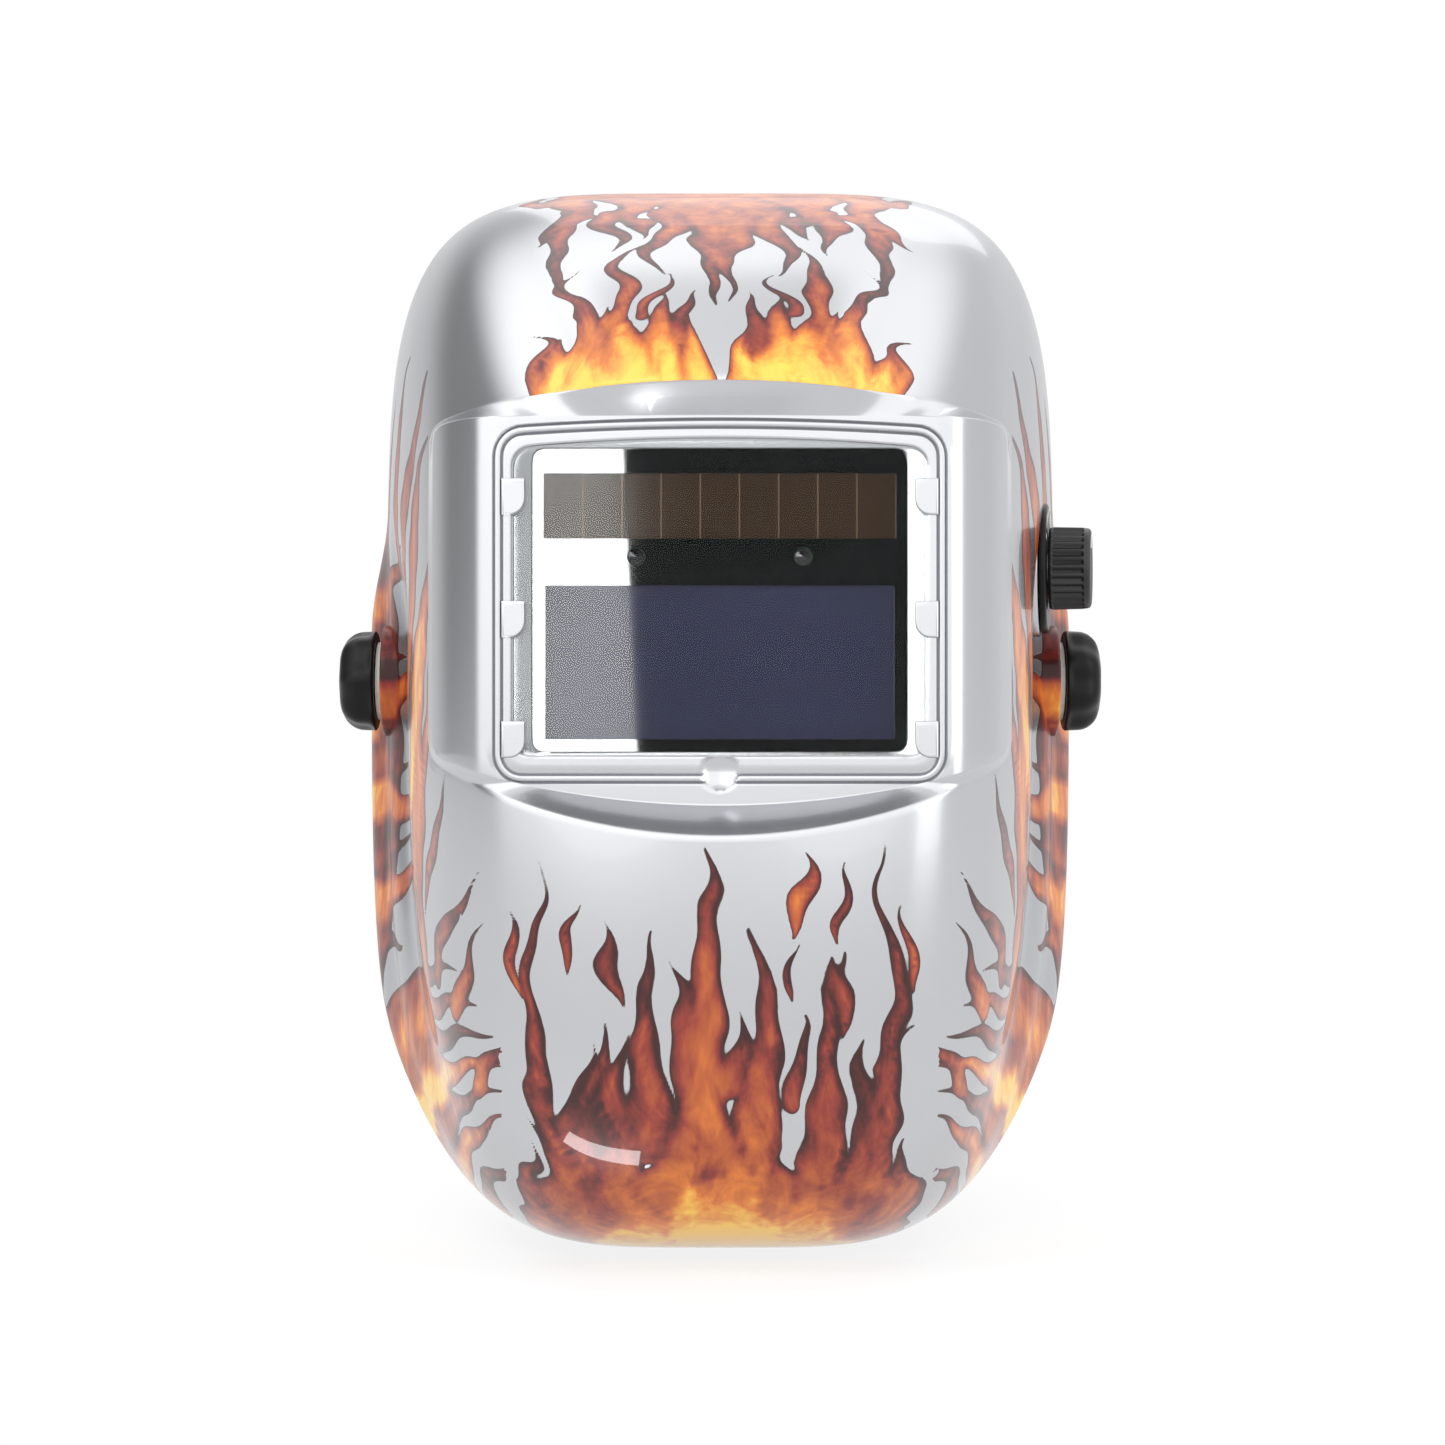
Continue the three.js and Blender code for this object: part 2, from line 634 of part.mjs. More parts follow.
function makeShell() {
  const skin = gridGeometry(shellRows());
  const tabs = tabHeights.map(lensTab);
  const controlPad = rod(control.padRadius, -shell.wall - overrun, control.padRise, controlPoint, controlAxis, 24);
  const controlFace = rod(
    control.padRadius + overrun,
    control.padRise,
    control.padRise + shadeKnob.length,
    controlPoint,
    controlAxis,
    24,
  );
  const potRoom = rod(pot.radius + overrun, -pot.depth - shell.wall, -shell.wall, controlPoint, controlAxis, 20);
  const potHole = rod(pot.bushRadius + touch, -pot.depth, dial.thickness + pot.depth, controlPoint, controlAxis);
  const padFace = rod(pivot.padRadius + overrun, padX, padX + sideKnob.length, centre, right, 24);
  const innerFace = rod(pivot.padRadius + overrun, stopX - overrun, innerPadX, centre, right, 24);
  const pivotBore = rod(pivot.boreRadius, stopX - overrun, padX + sideKnob.length, centre, right);
  const notchBall = new THREE.SphereGeometry(notch.radius, 14, 8);
  notchBall.translate(0, -panel.ahead - notch.ahead, notch.height);
  const bayOutline = roundedRectangle(
    around(0, 2 * bayHalf.x),
    around(filter.middle, 2 * bayHalf.z),
    bay.corner,
  );
  const bayRoom = frontPlate(bayOutline, seatBack, bayBack + overrun, 2);
  const leadHole = rod(lead.hole, -overrun, bay.wall + overrun, leadDoor, right, 12);
  const added = [
    ...tabs,
    ...tabs.map(mirrored),
    pivotBoss(),
    mirrored(pivotBoss()),
    stopPeg(),
    mirrored(stopPeg()),
    controlPad,
  ];
  const removed = [
    controlFace,
    potRoom,
    potHole,
    padFace,
    mirrored(padFace),
    innerFace,
    mirrored(innerFace),
    pivotBore,
    mirrored(pivotBore),
    notchBall,
    bayRoom,
    leadHole,
  ];
  return cutBy(joined(skin, ...added), ...removed);
}

// Outside cover lens, held in the frame by the six tabs
function makeCoverLens() {
  const outline = new THREE.Shape();
  const test = windowTest(opening, touch);
  columnAngles().forEach((angle, i) => {
    const radius = reachOf(angle, test);
    const [x, z] = [radius * Math.cos(angle), radius * Math.sin(angle)];
    if (i === 0) outline.moveTo(x, z);
    else outline.lineTo(x, z);
  });
  outline.closePath();
  return frontPlate(outline, lensFront, lensBack);
}

// Cartridge

const caseOutline = (inset = 0) => roundedRectangle(
  around(0, filter.width - 2 * inset),
  around(filter.middle, filter.height - 2 * inset),
  bay.corner,
);
const casePlate = (front, back, inset = 0) => frontPlate(caseOutline(inset), front, back, 3);
const viewBlock = (size, lapSize, front, back) => block(
  around(0, size.width + lapSize),
  [front, back],
  around(size.middle, size.height + lapSize),
);

const caseSplit = caseFront + filter.frontDepth;
const boardFront = caseFront + filter.face + solar.thickness + 2 * touch;
const boardBack = boardFront + board.thickness;

function makeFilterCaseFront() {
  const body = casePlate(caseFront, caseSplit);
  const hollow = casePlate(caseFront + filter.face, caseSplit + overrun, filter.wall);
  const shutterView = viewBlock(shutter, 0, caseFront - overrun, caseSplit);
  const solarView = viewBlock(solar, 0, caseFront - overrun, caseSplit);
  const eyes = [-1, 1].map((side) => rod(
    sensor.radius + touch,
    caseFront - overrun,
    caseSplit,
    new THREE.Vector3(side * sensor.spread, 0, sensor.height),
    backward,
    16,
  ));
  return cutBy(body, hollow, shutterView, solarView, ...eyes);
}

function makeFilterCaseBack() {
  const front = caseSplit + touch;
  const body = casePlate(front, caseBack);
  const hollow = casePlate(front - overrun, caseBack - filter.face, filter.wall);
  const view = viewBlock(shutter, 0, front, caseBack + overrun);
  const shaftHole = rod(
    sensitivity.shaftRadius + touch,
    front,
    caseBack + overrun,
    new THREE.Vector3(sensitivity.x, 0, sensitivity.height),
    backward,
    16,
  );
  const slot = block(
    around(delay.x, delay.width + 2 * (delay.travel + touch)),
    [front, caseBack + overrun],
    around(delay.height, delay.tall + 2 * touch),
  );
  return cutBy(body, hollow, view, shaftHole, slot);
}

const makeShutterGlass = () => viewBlock(
  shutter,
  2 * shutter.lap,
  caseFront + filter.face + touch,
  caseBack - filter.face - touch,
);

const makeSolarPanel = () => viewBlock(
  solar,
  2 * solar.lap,
  caseFront + filter.face + touch,
  caseFront + filter.face + touch + solar.thickness,
);

function makeArcSensor(side) {
  const front = caseFront - half(sensor.dome);
  const profile = [
    [front, 0],
    [front + half(sensor.dome), half(sensor.radius)],
    [front + sensor.dome, sensor.radius],
    [boardFront - touch, sensor.radius],
    [boardFront - touch, 0],
  ];
  return turned(profile, new THREE.Vector3(side * sensor.spread, 0, sensor.height), backward, 16);
}

const makeCircuitBoard = () => block(around(0, board.width), [boardFront, boardBack], [board.low, board.high]);

const makeBattery = (side) => rod(
  cell.radius,
  boardBack + touch,
  boardBack + touch + cell.thickness,
  new THREE.Vector3(side * cell.spread, 0, cell.height),
  backward,
  28,
);

function makeSensitivityKnob() {
  const start = caseBack + touch;
  const profile = [
    [boardBack + touch, 0],
    [boardBack + touch, sensitivity.shaftRadius],
    [start, sensitivity.shaftRadius],
    [start, sensitivity.radius],
    [start + sensitivity.length - sensitivity.grip, sensitivity.radius],
    [start + sensitivity.length, sensitivity.radius - sensitivity.grip],
    [start + sensitivity.length, 0],
  ];
  const place = new THREE.Vector3(sensitivity.x, 0, sensitivity.height);
  const body = turned(profile, place, backward, 24);
  const pointer = block(
    around(sensitivity.x, sensitivity.grip),
    [start + sensitivity.length - half(sensitivity.grip), start + sensitivity.length + overrun],
    [sensitivity.height, sensitivity.height + sensitivity.radius],
  );
  return cutBy(body, pointer);
}

function makeDelaySwitch() {
  const footBack = caseBack - filter.face - touch;
  const foot = block(
    around(delay.x, delay.width + 2 * delay.footLap),
    [footBack - delay.foot, footBack],
    around(delay.height, delay.tall + 2 * delay.footLap),
  );
  const cap = block(
    around(delay.x, delay.width),
    [footBack - half(delay.foot), caseBack + delay.proud],
    around(delay.height, delay.tall),
  );
  return joined(foot, cap);
}

const makeInnerCoverLens = () => frontPlate(
  roundedRectangle(around(0, innerLens.width), around(shutter.middle, innerLens.height), bay.corner),
  innerLensFront,
  innerLensBack,
  3,
);

function makeRetainingFrame() {
  const low = filter.middle - half(filter.height);
  const high = filter.middle + half(filter.height);
  const viewTop = shutter.middle + half(innerLens.height) - retainer.viewLap;
  const outline = roundedRectangle(around(0, filter.width), [low, high], bay.corner);
  const side = half(filter.width) - retainer.border;
  const viewBottom = Math.max(low + retainer.border, shutter.middle - half(innerLens.height) + retainer.viewLap);
  const view = roundedRectangle([-side, side], [viewBottom, viewTop], bay.corner, new THREE.Path());
  const controls = roundedRectangle(
    [-side, side],
    [viewTop + retainer.bar, high - retainer.border],
    bay.corner,
    new THREE.Path(),
  );
  outline.holes.push(view, controls);
  return frontPlate(outline, retainerFront, retainerBack, 3);
}

function makeRetainingClip() {
  const wallX = bayHalf.x + bay.wall + touch;
  const height = around(shutter.middle, clip.height);
  const leg = block(
    [wallX, wallX + clip.thickness],
    [retainerBack + touch - clip.leg, retainerBack + touch + clip.thickness],
    height,
  );
  const hook = block(
    [wallX - touch - bay.wall - clip.reach, wallX + clip.thickness],
    [retainerBack + touch, retainerBack + touch + clip.thickness],
    height,
  );
  return joined(leg, hook);
}

// Shade control

const dialBottom = control.padRise + touch;
const dialTop = dialBottom + dial.thickness;
const knobBottom = dialTop + touch;

const makeShadePlate = () => turned(
  [
    [dialBottom, pot.bushRadius + touch],
    [dialBottom, dial.radius],
    [dialTop - dial.bevel, dial.radius],
    [dialTop, dial.radius - dial.bevel],
    [dialTop, pot.bushRadius + touch],
    [dialBottom, pot.bushRadius + touch],
  ],
  controlPoint,
  controlAxis,
  36,
);

const potTop = -shell.wall - touch;

const makePotentiometer = () => turned(
  [
    [potTop - pot.depth, 0],
    [potTop - pot.depth, pot.radius],
    [potTop, pot.radius],
    [potTop, pot.bushRadius],
    [dialTop + pot.bushProud, pot.bushRadius],
    [dialTop + pot.bushProud, pot.bore],
    [potTop - half(pot.depth), pot.bore],
    [potTop - half(pot.depth), 0],
  ],
  controlPoint,
  controlAxis,
  20,
);

function makePotNut() {
  const outline = new THREE.Shape();
  const corners = 6;
  const radius = half(potNut.acrossFlats) / Math.cos(Math.PI / corners);
  for (let k = 0; k < corners; k += 1) {
    const angle = (k / corners) * 2 * Math.PI;
    if (k === 0) outline.moveTo(radius, 0);
    else outline.lineTo(radius * Math.cos(angle), radius * Math.sin(angle));
  }
  outline.closePath();
  const hole = new THREE.Path();
  hole.absarc(0, 0, pot.bushRadius + touch, 0, 2 * Math.PI, true);
  outline.holes.push(hole);
  return onControl(outline, dialTop + touch, potNut.thickness, 12);
}

// An outline carried along the shade control's axis
function onControl(outline, start, length, curveSegments) {
  const geometry = new THREE.ExtrudeGeometry(outline, { depth: length, bevelEnabled: false, curveSegments });
  const turn = new THREE.Quaternion().setFromUnitVectors(new THREE.Vector3(0, 0, 1), controlAxis);
  geometry.translate(0, 0, start);
  geometry.applyQuaternion(turn);
  return geometry.translate(controlPoint.x, controlPoint.y, controlPoint.z);
}

const makePotShaft = () => rod(
  pot.shaftRadius,
  potTop - half(pot.depth) + touch,
  knobBottom + shadeKnob.length - 2 * shadeKnob.chamfer - touch,
  controlPoint,
  controlAxis,
  20,
);

// A ring of grips round a knob, as an outline
function fluted(radius, count, depth) {
  const outline = new THREE.Shape();
  for (let k = 0; k < 2 * count; k += 1) {
    const reach = k % 2 ? radius - depth : radius;
    const angle = (k / count) * Math.PI;
    const [x, y] = [reach * Math.cos(angle), reach * Math.sin(angle)];
    if (k === 0) outline.moveTo(x, y);
    else outline.lineTo(x, y);
  }
  outline.closePath();
  return outline;
}

function makeShadeKnob() {
  const top = knobBottom + shadeKnob.length;
  const grip = onControl(
    fluted(shadeKnob.radius, shadeKnob.flutes, shadeKnob.fluteDepth),
    knobBottom,
    shadeKnob.length - shadeKnob.chamfer,
    1,
  );
  const capRadius = shadeKnob.radius - shadeKnob.fluteDepth;
  const cap = turned(
    [
      [top - 2 * shadeKnob.chamfer, 0],
      [top - 2 * shadeKnob.chamfer, capRadius],
      [top - shadeKnob.chamfer, capRadius],
      [top, capRadius - shadeKnob.chamfer],
      [top, 0],
    ],
    controlPoint,
    controlAxis,
    36,
  );
  const cup = rod(shadeKnob.cup, knobBottom - overrun, knobBottom + shadeKnob.cupDepth, controlPoint, controlAxis);
  const bore = rod(
    pot.shaftRadius + touch,
    knobBottom,
    top - 2 * shadeKnob.chamfer,
    controlPoint,
    controlAxis,
    20,
  );
  return cutBy(joined(grip, cap), cup, bore);
}

// Lead from the potentiometer, along the inside of the cheek, into the cartridge bay
function makeControlLead() {
  const start = controlPoint.clone()
    .addScaledVector(controlAxis, potTop - half(pot.depth))
    .addScaledVector(controlForward, pot.radius + touch);
  const clear = shell.wall + 2 * lead.radius;
  const insideCheek = (y, z) => new THREE.Vector3(skinX(y, z) - clear, y, z);
  const end = new THREE.Vector3(half(filter.width) + touch, leadDoor.y, leadDoor.z);
  const middle = lead.cheekShares.map((share) => insideCheek(
    mix(start.y, cheekDepth, share),
    mix(start.z, end.z, share),
  ));
  const path = new THREE.CatmullRomCurve3([
    start,
    start.clone().addScaledVector(controlForward, lead.straight),
    ...middle,
    new THREE.Vector3(
      mix(end.x, footHalfWidth, lead.turnShare.x),
      mix(end.y, cheekDepth, lead.turnShare.y),
      end.z,
    ),
    end.clone().add(new THREE.Vector3(2 * bay.wall + lead.radius, 0, 0)),
    end,
  ], false, 'centripetal');
  const section = new THREE.Shape();
  section.absarc(0, 0, lead.radius, 0, 2 * Math.PI, false);
  return new THREE.ExtrudeGeometry(section, {
    steps: lead.steps,
    extrudePath: path,
    curveSegments: lead.sides,
    bevelEnabled: false,
  });
}

// Pivot pieces, made for the right side

const makeFrictionWasher = () => ring(
  pivot.boltRadius + touch,
  frictionWasher.radius,
  frictionX,
  frictionX + frictionWasher.thickness,
  centre,
  right,
);

const makeOuterWasher = () => ring(
  pivot.boltRadius + touch,
  outerWasher.radius,
  washerX,
  washerX + outerWasher.thickness,
  centre,
  right,
);

function makeTiltStop() {
  const hub = rod(stopPlate.radius, stopX, stopX + stopPlate.thickness, centre, right, 24);
  const finger = block(
    [stopX, stopX + stopPlate.thickness],
    [0, stopPlate.finger],
    [peg.radius + touch, peg.radius + touch + stopPlate.fingerWidth],
  );
  const lower = block(
    [stopX, stopX + stopPlate.thickness],
    [0, stopPlate.finger],
    [-peg.radius - touch - stopPlate.fingerWidth, -peg.radius - touch],
  );
  lower.rotateX(-toRadians(stopPlate.lift));
  const hole = rod(pivot.boltRadius + touch, stopX - overrun, stopX + stopPlate.thickness + overrun, centre, right);
  const keyway = block(
    [stopX - overrun, stopX + bracket.keyDepth],
    around(0, bracket.key + 2 * touch),
    [-stopPlate.radius, -half(stopPlate.radius) + touch],
  );
  return cutBy(joined(hub, finger, lower), hole, keyway);
}

function makeBracket() {
  const outline = new THREE.Shape();
  const { halfWidth, top, bottom, corner } = bracket;
  const tip = Math.abs(bottom);
  outline.moveTo(-halfWidth, top - corner);
  outline.absarc(-halfWidth + corner, top - corner, corner, Math.PI, half(Math.PI), true);
  outline.absarc(halfWidth - corner, top - corner, corner, half(Math.PI), 0, true);
  outline.absarc(0, 0, tip, 0, Math.PI, true);
  outline.closePath();
  const plate = sidePlate(outline, bracketX, bracketFaceX, 4);
  const boss = rod(bracket.bossRadius, bracketFaceX - half(bracket.thickness), bossEndX, centre, right, 20);
  const key = block(
    [bossEndX - overrun, bossEndX + bracket.keyDepth],
    around(0, bracket.key),
    [-bracket.bossRadius + touch, -half(bracket.bossRadius) - overrun],
  );
  const bore = rod(pivot.boltRadius + touch, bracketX - overrun, bossEndX + 2 * overrun, centre, right);
  const pocket = block(
    [bracketX - overrun, boltHeadX + boltHead.thickness + touch],
    around(0, boltHead.size + 2 * touch),
    around(0, boltHead.size + 2 * touch),
  );
  const holes = [-1, 1].map((side) => rod(
    rivet.hole,
    bracketX - overrun,
    bracketFaceX + overrun,
    new THREE.Vector3(0, side * rivet.y, band.level),
    right,
    12,
  ));
  return cutBy(joined(plate, boss, key), bore, pocket, ...holes);
}

function makePivotBolt() {
  const stem = rod(
    pivot.boltRadius,
    boltHeadX + half(boltHead.thickness),
    knobX + sideKnob.boreDepth - touch,
    centre,
    right,
    20,
  );
  const head = block(
    [boltHeadX, boltHeadX + boltHead.thickness],
    around(0, boltHead.size),
    around(0, boltHead.size),
  );
  return joined(head, stem);
}

function makeSideKnob() {
  const face = knobX + sideKnob.length;
  const profile = [
    [knobX, 0],
    [knobX, sideKnob.radius],
    [face - sideKnob.crown, sideKnob.radius],
  ];
  const arcSteps = 4;
  for (let k = 1; k <= arcSteps; k += 1) {
    const turn = half(Math.PI) * (k / arcSteps);
    profile.push([
      face - sideKnob.crown + sideKnob.crown * Math.sin(turn),
      sideKnob.radius - sideKnob.crown * (1 - Math.cos(turn)),
    ]);
  }
  profile.push([face, 0]);
  const body = turned(profile, centre, right, 28);
  const away = sideKnob.radius + sideKnob.gripRadius - sideKnob.gripDepth;
  const grips = Array.from({ length: sideKnob.grips }, (_, k) => {
    const angle = (k / sideKnob.grips) * 2 * Math.PI;
    const place = new THREE.Vector3(0, away * Math.cos(angle), away * Math.sin(angle));
    return rod(sideKnob.gripRadius, knobX + overrun, face + overrun, place, right, 18);
  });
  const bore = rod(pivot.boltRadius + touch, knobX - overrun, knobX + sideKnob.boreDepth, centre, right);
  return cutBy(body, ...grips, bore);
}

// Headgear

// A point on the headband's middle line; 0 is the front, 180 the back
function bandPoint(degrees) {
  const angle = toRadians(degrees);
  const y = band.middle - band.halfLength * Math.cos(angle);
  return new THREE.Vector3(band.halfWidth * Math.sin(angle), y, band.level - band.slope * y);
}

function bandNormal(degrees) {
  const angle = toRadians(degrees);
  return new THREE.Vector3(Math.sin(angle) / band.halfWidth, -Math.cos(angle) / band.halfLength, 0).normalize();
}

// A sine or cosine with a power that squares up the curve it draws
const squared = (value, power) => Math.sign(value) * Math.abs(value) ** power;

// A strip with a rounded-off rectangular or oval section along a list of stations
function strip(stations) {
  const rows = stations.map(({ point, normal, up, thickness, height, oval }) => {
    const corners = oval
      ? Array.from({ length: 10 }, (_, k) => {
        const turn = (k / 10) * 2 * Math.PI;
        return [squared(Math.cos(turn), sweat.sectionPower), squared(Math.sin(turn), sweat.sectionPower)];
      })
      : [[-1, -1], [1, -1], [1, 1], [-1, 1]];
    return corners.map(([across, along]) => point.clone()
      .addScaledVector(normal, half(thickness) * across)
      .addScaledVector(up, half(height) * along));
  });
  const sides = rows[0].length;
  const positions = rows.flat().flatMap((corner) => corner.toArray());
  const index = [];
  for (let r = 0; r + 1 < rows.length; r += 1) {
    for (let c = 0; c < sides; c += 1) {
      const next = (c + 1) % sides;
      const [a, b] = [r * sides + c, r * sides + next];
      index.push(a, b, a + sides, b, b + sides, a + sides);
    }
  }
  const last = (rows.length - 1) * sides;
  for (let c = 1; c + 1 < sides; c += 1) {
    index.push(0, c + 1, c);
    index.push(last, last + c, last + c + 1);
  }
  const geometry = new THREE.BufferGeometry();
  geometry.setAttribute('position', new THREE.Float32BufferAttribute(positions, 3));
  geometry.setIndex(index);
  return outward(geometry);
}

const upright = new THREE.Vector3(0, 0, 1);

function bandStations(from, to, steps, options) {
  return Array.from({ length: steps + 1 }, (_, k) => {
    const degrees = mix(from, to, k / steps);
    const normal = bandNormal(degrees);
    const { inward = 0, ...sizes } = options(k / steps);
    return { point: bandPoint(degrees).addScaledVector(normal, -inward), normal, up: upright, ...sizes };
  });
}

function rivetHole(side, end) {
  return rod(
    rivet.hole,
    band.halfWidth - sweat.thickness,
    band.halfWidth + overrun,
    new THREE.Vector3(0, end * rivet.y, band.level),
    right,
    12,
  ).scale(side, 1, 1);
}

function makeHeadband() {
  const stations = bandStations(-band.end, band.end, 32, () => ({ thickness: band.thickness, height: band.height }));
  const holes = [-1, 1].flatMap((side) => [-1, 1].map((end) => rivetHole(side, end)));
  return cutBy(strip(stations), ...holes);
}

function makeSweatband() {
  const inward = half(band.thickness) + touch + half(sweat.thickness);
  return strip(bandStations(-sweat.end, sweat.end, 20, (share) => {
    const fill = Math.sqrt(Math.min(1, Math.sin(share * Math.PI) * sweat.endTaper));
    const thicknessShare = Math.max(fill, sweat.endThicknessShare);
    return {
      inward: inward - half(sweat.thickness) * (1 - thicknessShare),
      thickness: sweat.thickness * thicknessShare,
      height: sweat.height * Math.max(fill, sweat.endHeightShare),
      oval: true,
    };
  }));
}

// Depth of the band's middle line at a rivet
const bandHalfAt = (y) => band.halfWidth * Math.sqrt(1 - ((y - band.middle) / band.halfLength) ** 2);

function makeRivet(end) {
  const y = end * rivet.y;
  const nearest = Math.min(bandHalfAt(y - rivet.head), bandHalfAt(y + rivet.head));
  const inner = nearest - half(band.thickness) - touch;
  const outer = bracketFaceX + touch;
  const profile = [
    [inner - rivet.headThickness, 0],
    [inner - rivet.headThickness, rivet.head - half(rivet.headThickness)],
    [inner - half(rivet.headThickness), rivet.head],
    [inner, rivet.head],
    [inner, rivet.radius],
    [outer, rivet.radius],
    [outer, rivet.head],
    [outer + half(rivet.headThickness), rivet.head],
    [outer + rivet.headThickness, rivet.head - half(rivet.headThickness)],
    [outer + rivet.headThickness, 0],
  ];
  return turned(profile, new THREE.Vector3(0, y, band.level), right, 12);
}

// Half of a crown strap, from the band up over the head and past the middle; side is -1 or 1
function makeStrapHalf(end, side, layer) {
  const y = end * strap.y;
  const foot = bandHalfAt(y) + half(band.thickness) + touch + half(strap.thickness)
    + half(Math.abs(bandHalfAt(y + half(strap.width)) - bandHalfAt(y - half(strap.width))));
  const footZ = band.level - band.slope * y;
  const archZ = footZ + half(band.height) + band.slope * half(strap.width);
  const height = strap.top - archZ;
  const lift = layer * (strap.thickness + touch);
  const steps = 12;
  const past = -Math.asin(half(strap.lap) / foot);
  const stations = [];
  const tuck = { point: new THREE.Vector3(side * foot, y, footZ - strap.tuck), normal: right.clone() };
  stations.push(tuck);
  for (let k = 0; k <= steps; k += 1) {
    const turn = mix(half(Math.PI), past, k / steps);
    const rise = lift * Math.cos(turn);
    stations.push({
      point: new THREE.Vector3(side * foot * Math.sin(turn), y, archZ + (height + rise) * Math.cos(turn)),
      normal: new THREE.Vector3(Math.sin(turn) / foot, 0, Math.cos(turn) / height).normalize(),
    });
  }
  const sizes = { up: backward, thickness: strap.thickness, height: strap.width };
  const ribbon = strip(stations.map((station) => ({
    ...station,
    normal: station.normal.clone().setX(side * station.normal.x),
    ...sizes,
  })));
  const holes = Array.from({ length: strap.holes }, (_, k) => rod(
    strap.hole,
    half(strap.top),
    strap.top + strap.lap,
    new THREE.Vector3((k - half(strap.holes - 1)) * strap.pitch, y, 0),
    upright,
    10,
  ));
  return cutBy(ribbon, ...holes);
}

function makeStud(end) {
  const low = strap.top - half(strap.thickness) - 2 * touch;
  const high = strap.top + 1.5 * strap.thickness + 2 * touch;
  const profile = [
    [low - stud.headThickness, 0],
    [low - stud.headThickness, stud.head],
    [low, stud.head],
    [low, stud.radius],
    [high, stud.radius],
    [high, stud.head],
    [high + half(stud.headThickness), stud.head],
    [high + stud.headThickness, half(stud.head)],
    [high + stud.headThickness, 0],
  ];
  return turned(profile, new THREE.Vector3(0, end * strap.y, 0), upright, 12);
}

// Rear ratchet

const ratchetBack = ratchet.y + ratchet.depth;
const cavityFront = ratchet.y;
const cavityBack = ratchetBack - ratchet.wall;
const rackMiddle = half(cavityFront + cavityBack);
const ratchetZ = around(ratchet.level, ratchet.height);

// Left and right rear bands run from the headband's ends into the ratchet housing
function makeRearBand(side) {
  const start = bandPoint(band.end);
  const ahead = new THREE.Vector3(
    band.halfWidth * Math.cos(toRadians(band.end)),
    band.halfLength * Math.sin(toRadians(band.end)),
    0,
  ).normalize();
  start.addScaledVector(ahead, touch);
  const bend = new THREE.Vector3(start.x + (ahead.x / ahead.y) * (rackMiddle - start.y), rackMiddle, 0);
  const end = new THREE.Vector3(rearBand.endX, rackMiddle, ratchet.level);
  const curve = new THREE.QuadraticBezierCurve3(
    start,
    new THREE.Vector3(Math.max(bend.x, end.x + rearBand.mouth), bend.y, mix(start.z, end.z, rearBand.dropShare)),
    end,
  );
  const steps = 14;
  return strip(Array.from({ length: steps + 1 }, (_, k) => {
    const share = k / steps;
    const point = curve.getPoint(share);
    const tangent = curve.getTangent(share).setZ(0).normalize();
    const normal = new THREE.Vector3(tangent.y, -tangent.x, 0);
    point.x *= side;
    normal.x *= side;
    return {
      point,
      normal,
      up: upright,
      thickness: band.thickness,
      height: mix(rearBand.startHeight, rearBand.height, smooth(share / rearBand.taperShare)),
    };
  }));
}

const housingOutline = () => roundedRectangle(around(0, 2 * ratchet.halfWidth), ratchetZ, ratchet.corner);

function makeRatchetHousing() {
  const body = frontPlate(housingOutline(), ratchet.y, ratchetBack, 4);
  const inset = roundedRectangle(
    around(0, 2 * (ratchet.halfWidth - ratchet.wall)),
    around(ratchet.level, ratchet.height - 2 * ratchet.wall),
    ratchet.corner - ratchet.wall,
  );
  const hollow = frontPlate(inset, ratchet.y - overrun, cavityBack, 4);
  const mouthGap = rearBand.mouth;
  const mouths = block(
    around(0, 2 * (ratchet.halfWidth + overrun)),
    around(rackMiddle, band.thickness + 2 * mouthGap),
    around(ratchet.level, rearBand.height + 2 * mouthGap),
  );
  const hole = rod(
    pinion.shaft + touch,
    rackMiddle,
    ratchetBack + overrun,
    new THREE.Vector3(0, 0, ratchet.level),
    backward,
  );
  return cutBy(body, hollow, mouths, hole);
}

const makeRatchetCover = () => frontPlate(
  housingOutline(),
  ratchet.y - touch - ratchet.cover,
  ratchet.y - touch,
  4,
);

// Teeth of the pinion, as a front-view outline round its axis
function pinionOutline() {
  const outline = new THREE.Shape();
  const pitch = (2 * Math.PI) / pinion.teeth;
  const tip = pinion.pitchRadius + pinion.toothHalfHeight;
  const root = pinion.pitchRadius - pinion.toothHalfHeight;
  for (let k = 0; k < pinion.teeth; k += 1) {
    const middle = half(Math.PI) + k * pitch;
    const marks = [
      [root, -pitch * pinion.toothShare],
      [tip, -half(pitch * pinion.toothShare)],
      [tip, half(pitch * pinion.toothShare)],
      [root, pitch * pinion.toothShare],
    ];
    marks.forEach(([radius, offset], m) => {
      const [x, z] = [radius * Math.cos(middle + offset), radius * Math.sin(middle + offset)];
      if (k === 0 && m === 0) outline.moveTo(x, z + ratchet.level);
      else outline.lineTo(x, z + ratchet.level);
    });
  }
  outline.closePath();
  return outline;
}

function makePinion() {
  const gear = frontPlate(pinionOutline(), rackMiddle - half(pinion.length), rackMiddle + half(pinion.length), 1);
  const place = new THREE.Vector3(0, 0, ratchet.level);
  const shaft = rod(pinion.shaft, rackMiddle, ratchetBack + detent.thickness + 2 * touch, place, backward, 20);
  const bore = rod(pinion.bore, rackMiddle - pinion.length, ratchetBack + ratchetKnob.length, place, backward, 16);
  return cutBy(joined(gear, shaft), bore);
}

